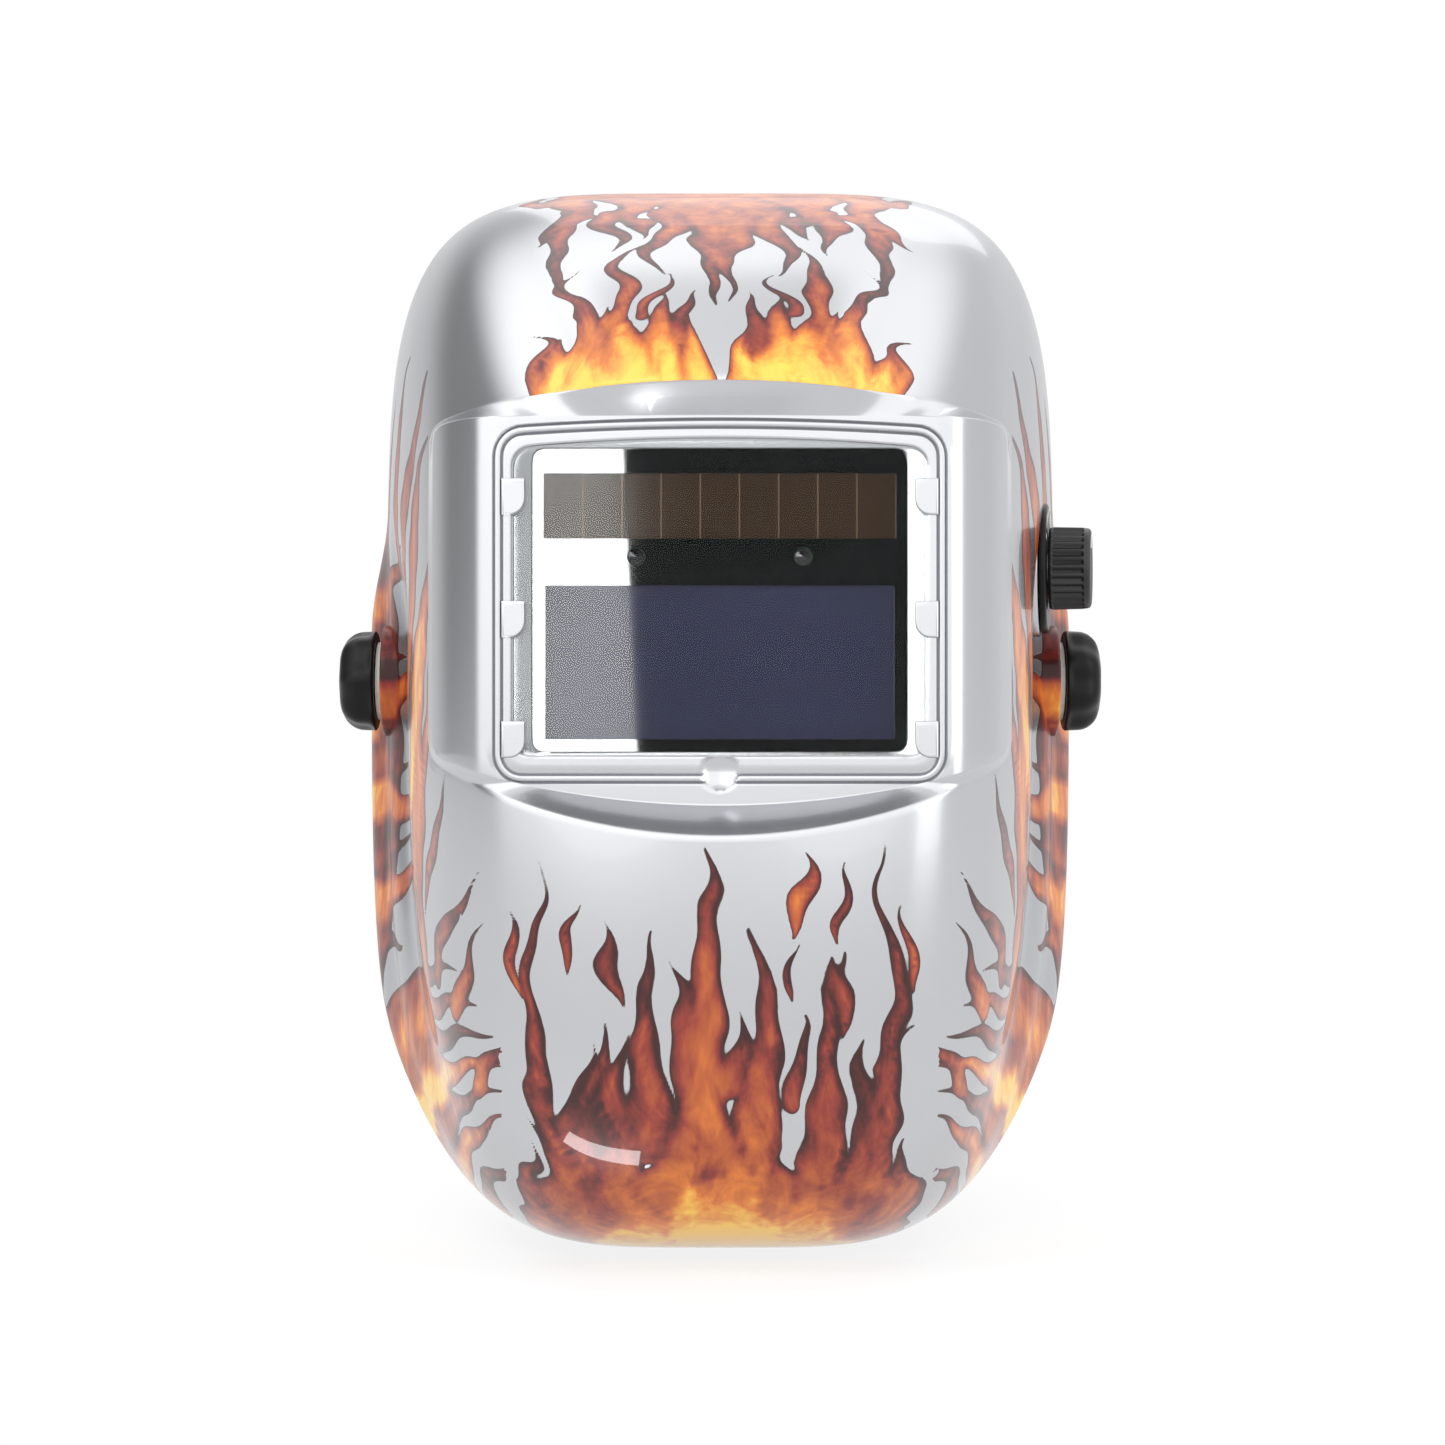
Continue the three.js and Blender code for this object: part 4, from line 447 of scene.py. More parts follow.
def ring_of(radius, count=64, lobes=0, depth=0.0):
    """A circle, or one whose radius dips as a cosine by a depth at each of its lobes, as [point, uv]."""
    turn = np.arange(count) / count * 2 * math.pi
    reach = radius - depth * (1 - np.cos(lobes * turn)) / 2.0
    return np.stack([reach * np.cos(turn), reach * np.sin(turn)], -1)


def placed(flat, along, origin, axis):
    """Flat points [point, uv] set square to an axis through an origin, at a distance along it."""
    axis = np.asarray(axis, float) / np.linalg.norm(axis)
    side = np.cross(UP, axis)
    side = side / np.linalg.norm(side)
    top = np.cross(axis, side)
    return np.asarray(origin, float) + flat[:, :1] * side + flat[:, 1:] * top + along * axis


def turned(name, profile, origin, axis, count, steps=3, around=False, lobes=0, depth=0.0, start=0.0):
    """A body of revolution. Each row of its profile is the distance along the axis beyond the start, the
    radius, the share of the lobes' depth there and the width over which the corner is eased."""
    rows = [
        placed(ring_of(radius, count, lobes, depth * share), start + along, origin, axis)
        for along, radius, share, _ in profile
    ]
    return loft(name, eased(rows, [ease for *_, ease in profile], steps, around), around)


def box_ring(half_u, half_v, corner, count=8):
    """A rounded rectangle as [point, uv], with its corners as quarter circles."""
    quarter = np.linspace(0, math.pi / 2, count)
    parts = []
    for k, (su, sv) in enumerate(((1, 1), (-1, 1), (-1, -1), (1, -1))):
        turn = quarter + k * math.pi / 2
        middle = np.array([su * (half_u - corner), sv * (half_v - corner)])
        parts.append(middle + corner * np.stack([np.cos(turn), np.sin(turn)], -1))
    return np.concatenate(parts)


# Flames: each is a stroke with a centre line and a half width

STROKE_POINTS = 15
THINNEST = 0.28


def tongue(base, tip, half, sway, turns, loose):
    """A flame from a base to a tip. The centre line sways across its run as t sin(2 pi turns t). The half
    width falls as (1-t)^0.8 (1 + 0.4 sin(pi t)), or for a loose lick swells as sin(pi t^0.8)."""
    base = np.array(base, float)
    run = np.array(tip, float) - base
    t = np.linspace(0.0, 1.0, STROKE_POINTS)
    across = np.array([-run[1], run[0]]) / np.hypot(*run)
    centre = base + t[:, None] * run + (sway * t * np.sin(2 * math.pi * turns * t))[:, None] * across
    if loose:
        width = half * np.sin(math.pi * np.clip(t, 0.03, 0.97) ** 0.8)
    else:
        width = half * (1.0 - t) ** 0.8 * (1.0 + 0.4 * np.sin(math.pi * t))
    return centre, np.maximum(width, THINNEST), t


def stroke_field(points, stroke):
    """Depth inside a stroke, the side of its centre line and the share of its length, at flat points."""
    centre, width, t = stroke
    start, run = centre[:-1], centre[1:] - centre[:-1]
    offset = points[:, None, :] - start[None]
    share = np.clip((offset * run).sum(-1) / (run * run).sum(-1), 0.0, 1.0)
    away = offset - share[..., None] * run
    half = width[:-1] + share * (width[1:] - width[:-1])
    depth = half - np.linalg.norm(away, axis=-1)
    best = depth.argmax(1)
    pick = (np.arange(len(points)), best)
    leg, gap = run[best], away[pick]
    side = (leg[:, 0] * gap[:, 1] - leg[:, 1] * gap[:, 0]) / np.linalg.norm(leg, axis=-1)
    along = t[:-1][best] + share[pick] * (t[1] - t[0])
    return depth[pick], -side / np.maximum(half[pick], 0.5), along


def waver(points):
    """Flat points moved by slow and quick sines of each other, which gives every outline a lively edge."""
    u, v = points.T
    across = 1.5 * np.sin(v / 6.3 + 1.7 * np.sin(u / 9.0)) + 0.55 * np.sin(v / 2.7 + u / 4.0)
    upward = 1.1 * np.sin(u / 5.1 + v / 13.0)
    return np.stack([u + across, v + upward], -1)


def flame_fields(points, strokes, join=1.6):
    """Signed depth of a group of flames joined softly at their roots, and the shade and heat of whichever
    flame lies on top, where each is laid over the ones before it."""
    points = waver(points)
    depth = np.full(len(points), -30.0)
    shade = np.zeros(len(points))
    heat = np.zeros(len(points))
    for stroke, root_heat, tip_heat in strokes:
        centre, width, _ = stroke
        reach = np.ptp(centre, axis=0) / 2 + width.max() + 9.0
        near = np.all(np.abs(points - centre.mean(0)) < reach, axis=1)
        if not near.any():
            continue
        own, side, along = stroke_field(points[near], stroke)
        edge = (1.0 - smooth(own / 2.6)) * smooth(along * 2.6) * (0.62 + 0.38 * side)
        shade[near] = mix(shade[near], edge, smooth(own / 0.8 + 0.5))
        heat[near] = mix(heat[near], mix(root_heat, tip_heat, along), smooth(own / 3.0 + 0.5))
        depth[near] = soft_max(depth[near], own, join)
    return depth, shade, heat


def strokes_from(table):
    """Strokes from rows of base x and w, tip x and w, half width, sway, turns, root and tip heat, loose."""
    return [
        (tongue((x0, w0), (x1, w1), half, sway, turns, bool(loose)), root, tip)
        for x0, w0, x1, w1, half, sway, turns, root, tip, loose in table
    ]


CHIN_FLAMES = [
    # the mass under the jaw, with its bright core last
    (6, -160, -54, -158, 26, 0, 0.8, 0.36, 0.30, 0),
    (-6, -160, 54, -158, 26, 0, 0.8, 0.36, 0.30, 0),
    (-38, -205, -38, -108, 12, 2, 0.8, 0.34, 0.22, 0),
    (38, -205, 38, -110, 12, -2, 0.8, 0.34, 0.22, 0),
    (-25, -205, -27, -100, 14, -3, 0.8, 0.40, 0.25, 0),
    (25, -205, 25, -102, 14, 3, 0.8, 0.40, 0.25, 0),
    (-9, -210, -11, -96, 14, 3, 0.7, 0.60, 0.27, 0),
    (10, -210, 11, -98, 14, -3, 0.8, 0.58, 0.27, 0),
    (1, -202, 0, -122, 19, 4, 0.8, 1.22, 0.34, 0),
    (-23, -200, -21, -136, 10, -3, 0.8, 1.0, 0.32, 0),
    (25, -200, 23, -138, 10, 3, 0.8, 1.0, 0.32, 0),
    # tall tongues
    (-33, -130, -33, -92, 4.6, 3, 0.9, 0.27, 0.22, 0),
    (38, -132, 40, -96, 4.6, -2.5, 0.9, 0.28, 0.22, 0),
    (-20, -126, -17, -68, 5.0, -4.0, 1.0, 0.31, 0.23, 0),
    (27, -128, 31, -72, 4.2, -3.5, 1.1, 0.31, 0.24, 0),
    (13, -124, 9, -66, 5.0, 4.5, 1.05, 0.35, 0.25, 0),
    (-2, -128, -7, -44, 6.8, 5.5, 0.95, 0.42, 0.34, 0),
    (-9, -92, -13, -76, 2.2, -1.5, 0.8, 0.32, 0.25, 0),
    (3, -110, 6, -88, 3.0, -1.5, 0.8, 0.36, 0.26, 0),
    (20, -112, 20, -90, 2.8, 2.0, 0.9, 0.34, 0.25, 0),
    (-27, -116, -25, -94, 2.8, 2.0, 0.9, 0.32, 0.25, 0),
    # long outer ribbons and their barbs
    (-42, -166, -51, -50, 4.0, -4, 1.25, 0.34, 0.27, 0),
    (-44, -116, -51, -101, 1.7, 1.2, 0.8, 0.30, 0.24, 0),
    (-43, -136, -51, -122, 1.7, -1.0, 0.8, 0.30, 0.24, 0),
    (-39, -126, -36, -98, 2.8, 2.5, 0.9, 0.30, 0.25, 0),
    (43, -150, 46, -46, 3.8, 4, 1.35, 0.36, 0.29, 0),
    (43, -104, 50, -92, 1.6, 1.0, 0.8, 0.32, 0.25, 0),
    (43, -124, 37, -108, 1.7, 1.2, 0.8, 0.32, 0.25, 0),
    # corners
    (-46, -196, -54, -134, 5.4, 3.5, 0.8, 0.36, 0.24, 0),
    (47, -192, 52, -130, 5.2, -3, 0.8, 0.36, 0.24, 0),
    # loose licks
    (-53, -84, -55, -63, 1.9, 1.8, 0.95, 0.72, 0.28, 1),
    (-39, -80, -40, -60, 1.7, -2.2, 1.2, 0.46, 0.26, 1),
    (-27, -86, -30, -64, 2.5, 2.2, 0.95, 0.44, 0.28, 1),
    (19, -70, 22, -46, 3.2, 2.4, 0.95, 0.66, 0.42, 1),
    (19, -86, 20, -72, 1.3, 1.2, 0.8, 0.36, 0.20, 1),
    (32, -70, 34, -49, 1.7, 2.2, 1.3, 0.5, 0.28, 1),
    (32, -96, 31, -74, 2.8, -2.2, 0.9, 0.42, 0.28, 1),
    (50, -84, 50, -62, 1.8, -1.8, 0.95, 0.70, 0.28, 1),
]

BROW_FLAMES = [
    # one group over the ledge; the other hand mirrors it
    (5, 68, 9, 92, 6.0, -2.0, 0.8, 1.0, 0.62, 0),
    (41, 68, 44, 90, 5.5, 1.5, 0.8, 0.98, 0.60, 0),
    (34, 68, 36, 110, 6.4, 3.0, 0.85, 0.95, 0.40, 0),
    (14, 68, 17, 104, 6.4, -3.0, 0.9, 1.0, 0.40, 0),
    (25, 68, 25, 100, 8.4, 2.0, 0.8, 1.05, 0.55, 0),
    (45, 74, 51, 96, 2.8, -3.6, 1.1, 0.78, 0.36, 0),
    (30, 84, 31, 102, 3.0, 1.5, 0.8, 0.75, 0.45, 0),
    (11, 88, 5, 108, 2.2, 2.0, 0.8, 0.45, 0.30, 0),
    (19, 96, 14, 118, 2.0, -2.5, 1.1, 0.42, 0.30, 0),
    (27, 94, 24, 140, 3.4, 4.0, 1.15, 0.44, 0.34, 0),
    (37, 102, 42, 126, 2.2, 3.5, 1.15, 0.42, 0.30, 0),
    # the mass on the crown, with tongues forward and back
    (6, 226, 9, 150, 12.5, 2.0, 0.8, 0.42, 0.34, 0),
    (24, 222, 24, 158, 11.5, -2.0, 0.8, 0.40, 0.32, 0),
    (40, 216, 42, 164, 8.0, 2.0, 0.8, 0.38, 0.30, 0),
    (4, 180, 0, 102, 6.0, 4.5, 0.95, 0.42, 0.26, 0),
    (14, 176, 17, 118, 4.6, -4.0, 1.0, 0.38, 0.26, 0),
    (30, 176, 31, 134, 4.4, 3.5, 1.0, 0.36, 0.26, 0),
    (42, 180, 45, 110, 3.8, -4.5, 1.25, 0.36, 0.25, 0),
    (38, 172, 54, 152, 3.8, 3.0, 0.9, 0.36, 0.26, 0),
    (21, 166, 24, 146, 3.0, 2.0, 0.9, 0.34, 0.25, 0),
    (3, 214, 6, 272, 7.0, 5.0, 0.9, 0.44, 0.28, 0),
    (14, 212, 10, 252, 6.0, -4.0, 0.9, 0.42, 0.28, 0),
    (22, 208, 27, 268, 7.0, 5.0, 0.95, 0.42, 0.28, 0),
    (33, 206, 31, 244, 5.0, -4.0, 0.9, 0.40, 0.28, 0),
    (42, 198, 50, 254, 5.6, 5.0, 1.0, 0.40, 0.28, 0),
    (48, 196, 60, 224, 3.4, -3.0, 0.9, 0.38, 0.26, 0),
]

SIDE_FLAMES = [
    # forward distance and height on one cheek; the other hand is its mirror image
    (-16, -24, -12, 66, 34, 2, 0.8, 0.06, 0.10, 0),
    (-14, -14, 8, -104, 33, 3, 0.8, 0.05, 0.05, 0),
    (-58, 32, 12, 54, 6.5, 4, 0.9, 0.32, 0.22, 0),
    (-60, 18, 46, 34, 7, -5, 0.8, 0.66, 0.24, 0),
    (-60, 4, 32, 10, 5, 4, 0.8, 0.26, 0.20, 0),
    (-60, -12, 68, -2, 7, -7, 0.9, 0.84, 0.26, 0),
    (-60, -28, 40, -22, 5, 4, 0.85, 0.26, 0.22, 0),
    (-56, -42, 78, -32, 7, 7, 0.95, 0.80, 0.26, 0),
    (-50, -58, 46, -50, 5, -4, 0.85, 0.26, 0.20, 0),
    (-46, -70, 84, -58, 7, -6, 0.95, 0.84, 0.28, 0),
    (-38, -86, 44, -74, 5.5, 4, 0.85, 0.40, 0.22, 0),
    # ribbons round the corner of the jaw
    (8, -108, 130, -76, 8.0, 6, 0.6, 0.34, 0.30, 0),
    (10, -119, 136, -84, 8.5, 6, 0.6, 0.60, 0.42, 0),
    (14, -130, 140, -92, 8.5, 6, 0.6, 0.36, 0.32, 0),
    (22, -140, 142, -100, 8.0, 6, 0.6, 0.98, 0.72, 0),
    (34, -150, 140, -108, 7.0, 6, 0.6, 0.40, 0.32, 0),
    (50, -158, 138, -116, 6.0, 5, 0.6, 0.90, 0.50, 0),
    (66, -164, 134, -128, 4.5, 4, 0.6, 0.36, 0.26, 0),
    (112, -82, 140, -52, 4.0, 4, 0.9, 0.36, 0.26, 0),
    (124, -92, 146, -68, 3.0, -3, 0.9, 0.60, 0.30, 0),
    (130, -112, 150, -92, 3.0, 3, 0.9, 0.50, 0.28, 0),
    # licks that climb where the cheek turns to the front
    (90, -94, 106, -2, 8.0, 5, 0.9, 0.46, 0.28, 0),
    (80, -66, 110, 26, 9.0, -5, 1.0, 0.60, 0.28, 1),
    (78, -40, 115, 46, 9.0, 6, 0.95, 0.90, 0.30, 1),
    (62, -14, 106, 66, 9.0, -7, 0.95, 0.52, 0.26, 1),
    (46, 10, 88, 86, 9.0, 7, 0.95, 0.46, 0.24, 1),
    (100, -40, 120, 16, 4.0, -4, 1.0, 0.44, 0.26, 1),
    (104, -66, 126, -26, 3.6, 4, 1.0, 0.42, 0.26, 1),
    (98, -4, 119, 44, 4.0, 4, 1.0, 0.60, 0.26, 1),
    (26, 32, 60, 92, 7.0, -6, 0.95, 0.42, 0.24, 1),
    (2, 48, 24, 88, 5.0, 5, 0.95, 0.34, 0.22, 0),
]


# Depth of a point with no print on it
BARE = -8.0


def print_fields(points):
    """Depth, shade and heat of the whole print at points of the outer skin. The chin and the crown are
    unrolled by adding the depth behind their front to the height. The cheeks are seen from the side. The
    group over the brow ledge is laid twice, the second time mirrored and slightly changed."""
    x, y, z = points.T
    fields = [np.full(len(points), BARE), np.zeros(len(points)), np.zeros(len(points))]
    mirrored = [
        (-1.04 * a, b, -0.97 * c, d + 2.0, 0.94 * half, -1.1 * sway, *rest)
        for a, b, c, d, half, sway, *rest in BROW_FLAMES
    ]
    charts = (
        ((z < -34) & (np.abs(x) < 72) & (y < -60), x, z - np.maximum(0.0, y + 148.0), CHIN_FLAMES),
        ((z > 60) & (np.abs(x) < 76), x, z + 0.8 * np.maximum(0.0, y + 142.0), BROW_FLAMES + mirrored),
        ((np.abs(x) > 58) & (z < 100), -y, z, SIDE_FLAMES),
    )
    for inside, across, upward, table in charts:
        chosen = np.flatnonzero(inside)
        own = flame_fields(np.stack([across[chosen], upward[chosen]], -1), strokes_from(table))
        ahead = own[0] > fields[0][chosen]
        for kept, new in zip(fields, own):
            kept[chosen] = np.where(ahead, new, kept[chosen])
    return [np.clip(field, BARE, -BARE) for field in fields]


def lay_print(mesh, fields):
    """Keeps the print's fields on a mesh's points, for its material."""
    for name, values in zip(("flame_depth", "flame_shade", "flame_heat"), fields):
        mesh.attributes.new(name, "FLOAT", "POINT").data.foreach_set("value", values.astype(np.float32))


# Materials


def arithmetic(operation, swapped=False):
    """A method of Term that puts it, and any other value, through one node of arithmetic."""

    def method(self, *others):
        values = (*others, self) if swapped else (self, *others)
        node = self.paint.node("ShaderNodeMath", {"operation": operation}, dict(enumerate(values)))
        return Term(self.paint, node.outputs[0])

    return method


class Term:
    """A value in a material's nodes, with the operators of arithmetic."""

    def __init__(self, paint, socket):
        self.paint = paint
        self.socket = socket

    __add__ = arithmetic("ADD")
    __radd__ = arithmetic("ADD", True)
    __sub__ = arithmetic("SUBTRACT")
    __rsub__ = arithmetic("SUBTRACT", True)
    __mul__ = arithmetic("MULTIPLY")
    __truediv__ = arithmetic("DIVIDE")
    __pow__ = arithmetic("POWER")
    maximum = arithmetic("MAXIMUM")
    absolute = arithmetic("ABSOLUTE")
    fraction = arithmetic("FRACT")
    sine = arithmetic("SINE")

    def from_middle(self):
        """How far the fraction is from a half: 0 in the middle of each unit and 0.5 at its ends."""
        return (self.fraction() - 0.5).absolute()

    def ramp(self, low, high, start=0.0, end=1.0):
        """A smooth step from start at low to end at high."""
        node = self.paint.node(
            "ShaderNodeMapRange",
            {"interpolation_type": "SMOOTHSTEP"},
            {"Value": self, "From Min": low, "From Max": high, "To Min": start, "To Max": end},
        )
        return Term(self.paint, node.outputs["Result"])


class Paint:
    """A material, or the world, and its nodes."""

    def __init__(self, name, world=None):
        self.material = world or bpy.data.materials.new(name)
        self.material.use_nodes = True
        self.tree = self.material.node_tree
        self.surface = self.tree.nodes.get("Principled BSDF")

    def node(self, kind, settings=None, values=None):
        node = self.tree.nodes.new(kind)
        for key, value in (settings or {}).items():
            if key == "stops":
                self._stops(node, value)
            else:
                setattr(node, key, value)
        for key, value in (values or {}).items():
            self._feed(node.inputs[key], value)
        return node

    def _stops(self, node, stops):
        elements = node.color_ramp.elements
        while len(elements) < len(stops):
            elements.new(0.5)
        for element, (place, colour) in zip(elements, stops):
            element.position = place
            element.color = (*colour, 1.0)

    def _feed(self, socket, value):
        if isinstance(value, Term):
            self.tree.links.new(value.socket, socket)
        elif isinstance(value, bpy.types.NodeSocket):
            self.tree.links.new(value, socket)
        elif hasattr(value, "__len__") and len(value) == 3 and socket.type == "RGBA":
            socket.default_value = (*value, 1.0)
        else:
            socket.default_value = value

    def set(self, **values):
        """Sets the surface's sockets; base_color stands for Base Color and so on."""
        for key, value in values.items():
            self._feed(self.surface.inputs[key.replace("_", " ").title().replace("Ior", "IOR")], value)
        return self

    def attribute(self, name):
        node = self.node("ShaderNodeAttribute", {"attribute_type": "GEOMETRY", "attribute_name": name})
        return Term(self, node.outputs["Fac"])

    def place(self, scale=(1.0, 1.0, 1.0)):
        """Object coordinates, scaled."""
        source = self.node("ShaderNodeTexCoord")
        mapping = self.node("ShaderNodeMapping", {}, {"Vector": source.outputs["Object"], "Scale": scale})
        return mapping.outputs[0]

    def axis(self, which):
        """One object coordinate, in metres."""
        source = self.node("ShaderNodeTexCoord")
        split = self.node("ShaderNodeSeparateXYZ", {}, {"Vector": source.outputs["Object"]})
        return Term(self, split.outputs[which])

    def noise(self, scale, detail=3.0, rough=0.55, at=None, warp=0.0):
        values = {"Scale": scale, "Detail": detail, "Roughness": rough, "Distortion": warp}
        values["Vector"] = at if at is not None else self.place()
        return Term(self, self.node("ShaderNodeTexNoise", {}, values).outputs["Fac"])

    def blend(self, share, a, b):
        """Colour a where the share is 0 and b where it is 1."""
        node = self.node("ShaderNodeMix", {"data_type": "RGBA"}, {0: share, 6: a, 7: b})
        return node.outputs[2]

    def colours(self, value, stops):
        return self.node("ShaderNodeValToRGB", {"stops": stops}, {0: value}).outputs["Color"]

    def bump(self, height, strength=0.3, distance=0.0002):
        node = self.node("ShaderNodeBump", {}, {"Strength": strength, "Distance": distance, "Height": height})
        self._feed(self.surface.inputs["Normal"], node.outputs["Normal"])
        return self


PAINTS = {}


def paint(name):
    """The material of a name, made once."""
    if name not in PAINTS:
        PAINTS[name] = RECIPES[name](Paint(name)).material
    return PAINTS[name]


# How metallic the bare silver is
METAL = 0.9


def silver_coat(p, printed):
    """Metallic flake under a clear coat, with the flame print where the shell carries it."""
    tones = bpy.context.scene.helmet_paint
    flake = p.noise(2600.0, 1.0, 0.4)
    cloud = p.noise(9.0, 2.0)
    base = p.blend(flake * 0.16 + cloud * 0.06, tones.silver, [c * 0.72 for c in tones.silver])
    rough = flake * 0.06 + 0.2
    metal = METAL
    # The clear coat thins on the ear flanges and on the top of the crown: painted shade that dims their
    # reflections.
    coat = p.axis("X").absolute().ramp(0.076, 0.09, 0.8, 0.2) * p.axis("Z").ramp(0.105, 0.135, 1.0, 0.3)
    if printed:
        depth = p.attribute("flame_depth") + (p.noise(260.0, 2.0) - 0.5) * 0.25
        shade = p.attribute("flame_shade")
        heat = p.attribute("flame_heat")
        streak = p.noise(62.0, 4.0, 0.62, p.place((1.0, 1.0, 0.42)), 1.1)
        fine = p.noise(210.0, 3.0, 0.6, p.place((1.0, 1.0, 0.3)), 0.6)
        glow = heat + (streak - 0.5) * 0.95 + (fine - 0.5) * 0.4 + depth.ramp(0.3, 4.5, -0.1, 0.08)
        glow = glow - shade * (streak.ramp(0.2, 0.7) * 0.2 + 0.1)
        flame = p.colours(
            glow,
            [
                (0.0, [c * 0.35 for c in tones.ember]),
                (0.13, tones.ember),
                (0.30, tones.red),
                (0.50, [mix(a, b, 0.45) for a, b in zip(tones.red, tones.orange)]),
                (0.68, tones.orange),
                (0.96, tones.yellow),
            ],
        )
        line = depth.ramp(0.08, 0.45)
        flame = p.blend(line, tones.soot, flame)
        inside = depth.ramp(-0.12, 0.12)
        base = p.blend(inside, base, flame)
        metal = (1.0 - inside) * METAL
        rough = rough + inside * 0.16
    p.set(base_color=base, roughness=rough, metallic=metal, specular_tint=(0.7, 0.7, 0.72))
    return p.set(specular_ior_level=0.25, coat_weight=coat, coat_roughness=0.03, coat_ior=1.45)


def moulded(p, colour, rough=0.42, grain=1400.0, depth=0.00004, gloss=0.3):
    """Moulded plastic with a fine grain and slight changes of gloss."""
    cloud = p.noise(22.0, 3.0)
    fine = p.noise(grain, 2.0, 0.6)
    p.set(
        base_color=p.blend(cloud * 0.5, colour, [min(1.0, c * 1.5 + 0.002) for c in colour]),
        roughness=cloud * 0.14 + fine * 0.06 + (rough - 0.08),
        specular_ior_level=gloss,
    )
    return p.bump(fine, 0.5, depth)


def polished_case(p):
    """The cartridge's black case, with a polished front that takes a strong reflection."""
    cloud = p.noise(30.0, 3.0)
    dark = (0.006, 0.0075, 0.008)
    p.set(base_color=p.blend(cloud, dark, (0.011, 0.013, 0.0135)), roughness=cloud * 0.02 + 0.01)
    return p.set(specular_ior_level=1.0, coat_weight=1.0, coat_roughness=0.01, coat_ior=2.4)


def clear_sheet(p):
    """Clear sheet, with a low index that keeps the room's veil off what lies behind it."""
    p.set(
        base_color=(0.97, 0.985, 0.98),
        roughness=p.noise(6.0).ramp(0.3, 0.7, 0.0, 0.012),
        transmission_weight=1.0,
        ior=1.16,
    )
    return p


def dark_glass(p, colour, gloss=0.5):
    """Dark polished glass with a faint cloud in its colour."""
    cloud = p.noise(14.0, 2.0)
    p.set(base_color=p.blend(cloud, colour, [c * 1.3 for c in colour]), roughness=cloud * 0.02 + 0.02)
    return p.set(specular_ior_level=gloss)


def strap_plastic(p):
    """The headgear's plastic, with the holes for the stud cut as clear discs 8 mm apart along the crown."""
    moulded(p, tone("grey"), 0.55, 1200.0, 0.00008)
    x = p.axis("X").absolute() - 0.008
    y = p.axis("Y").absolute() - 0.035
    z = p.axis("Z")
    away = (x * x + y * y) ** 0.5
    return p.set(alpha=away.ramp(0.00255, 0.00265).maximum(z.ramp(0.099, 0.1, 1.0, 0.0)))


def solar_cells(p):
    """Brown cells side by side, with thin paler lines between them and fine ones along them."""
    tones = bpy.context.scene.helmet_paint
    gap = (p.axis("X") / 0.01045 + 0.5).from_middle().ramp(0.472, 0.49)
    fine = (p.axis("Z") / 0.0022).from_middle().ramp(0.42, 0.49)
    cloud = p.noise(60.0, 2.0)
    base = p.blend(cloud * 0.6, tones.cells, [c * 1.4 for c in tones.cells])
    base = p.blend(gap * 0.4 + fine * 0.05, base, (0.3, 0.2, 0.14))
    return p.set(base_color=base, roughness=cloud * 0.03 + 0.04, specular_ior_level=0.34)


def bright_steel(p):
    """Plain steel with a turned grain."""
    fine = p.noise(900.0, 2.0, 0.6, p.place((1.0, 1.0, 12.0)))
    p.set(
        base_color=p.blend(fine * 0.4, (0.62, 0.62, 0.63), (0.42, 0.42, 0.44)),
        metallic=1.0,
        roughness=fine * 0.2 + 0.22,
    )
    return p.bump(fine, 0.2, 0.00002)


def natural_nylon(p):
    cloud = p.noise(40.0, 3.0)
    p.set(base_color=p.blend(cloud, (0.62, 0.60, 0.54), (0.70, 0.69, 0.64)), roughness=cloud * 0.1 + 0.4)
    p.set(subsurface_weight=0.15, subsurface_scale=0.002)
    return p.bump(p.noise(900.0), 0.2, 0.00003)


def board_green(p):
    """Solder mask with tracks that show as a slight relief."""
    tracks = (p.axis("X") / 0.0021).from_middle().ramp(0.3, 0.36)
    relief = tracks * p.noise(220.0, 1.0).ramp(0.45, 0.5)
    p.set(base_color=p.blend(relief, (0.012, 0.075, 0.032), (0.03, 0.15, 0.06)), roughness=0.35)
    return p.bump(relief, 0.4, 0.00005)


# A full turn, and in metres the width of a wale, the height of a course and how far courses zigzag
KNIT = {"turn": 6.2832, "wale": 0.0011, "course": 0.0009, "zigzag": 0.00018}


def knitted(p):
    """Knitted cloth: fine rows of loops along the piece's own map, with lint."""
    tones = bpy.context.scene.helmet_paint
    source = p.node("ShaderNodeUVMap", {"uv_map": "weave"})
    split = p.node("ShaderNodeSeparateXYZ", {}, {"Vector": source.outputs["UV"]})
    u = Term(p, split.outputs["X"])
    v = Term(p, split.outputs["Y"])
    wave = (u * KNIT["turn"] / KNIT["wale"]).sine()
    wales = wave * 0.5 + 0.5
    courses = ((v + wave * KNIT["zigzag"]) * KNIT["turn"] / KNIT["course"]).sine() * 0.5 + 0.5
    loops = wales * 0.5 + courses * 0.5
    lint = p.noise(900.0, 3.0, 0.7)
    lighter = [c * 2.6 + 0.01 for c in tones.cloth]
    p.set(
        base_color=p.blend(loops * 0.6 + lint * 0.35, [c * 0.6 for c in tones.cloth], lighter),
        roughness=0.86 + loops * 0.1,
        sheen_weight=0.35,
        sheen_roughness=0.5,
    )
    return p.bump(loops * 0.8 + lint * 0.2, 0.7, 0.0003)


def tone(name):
    return getattr(bpy.context.scene.helmet_paint, name)


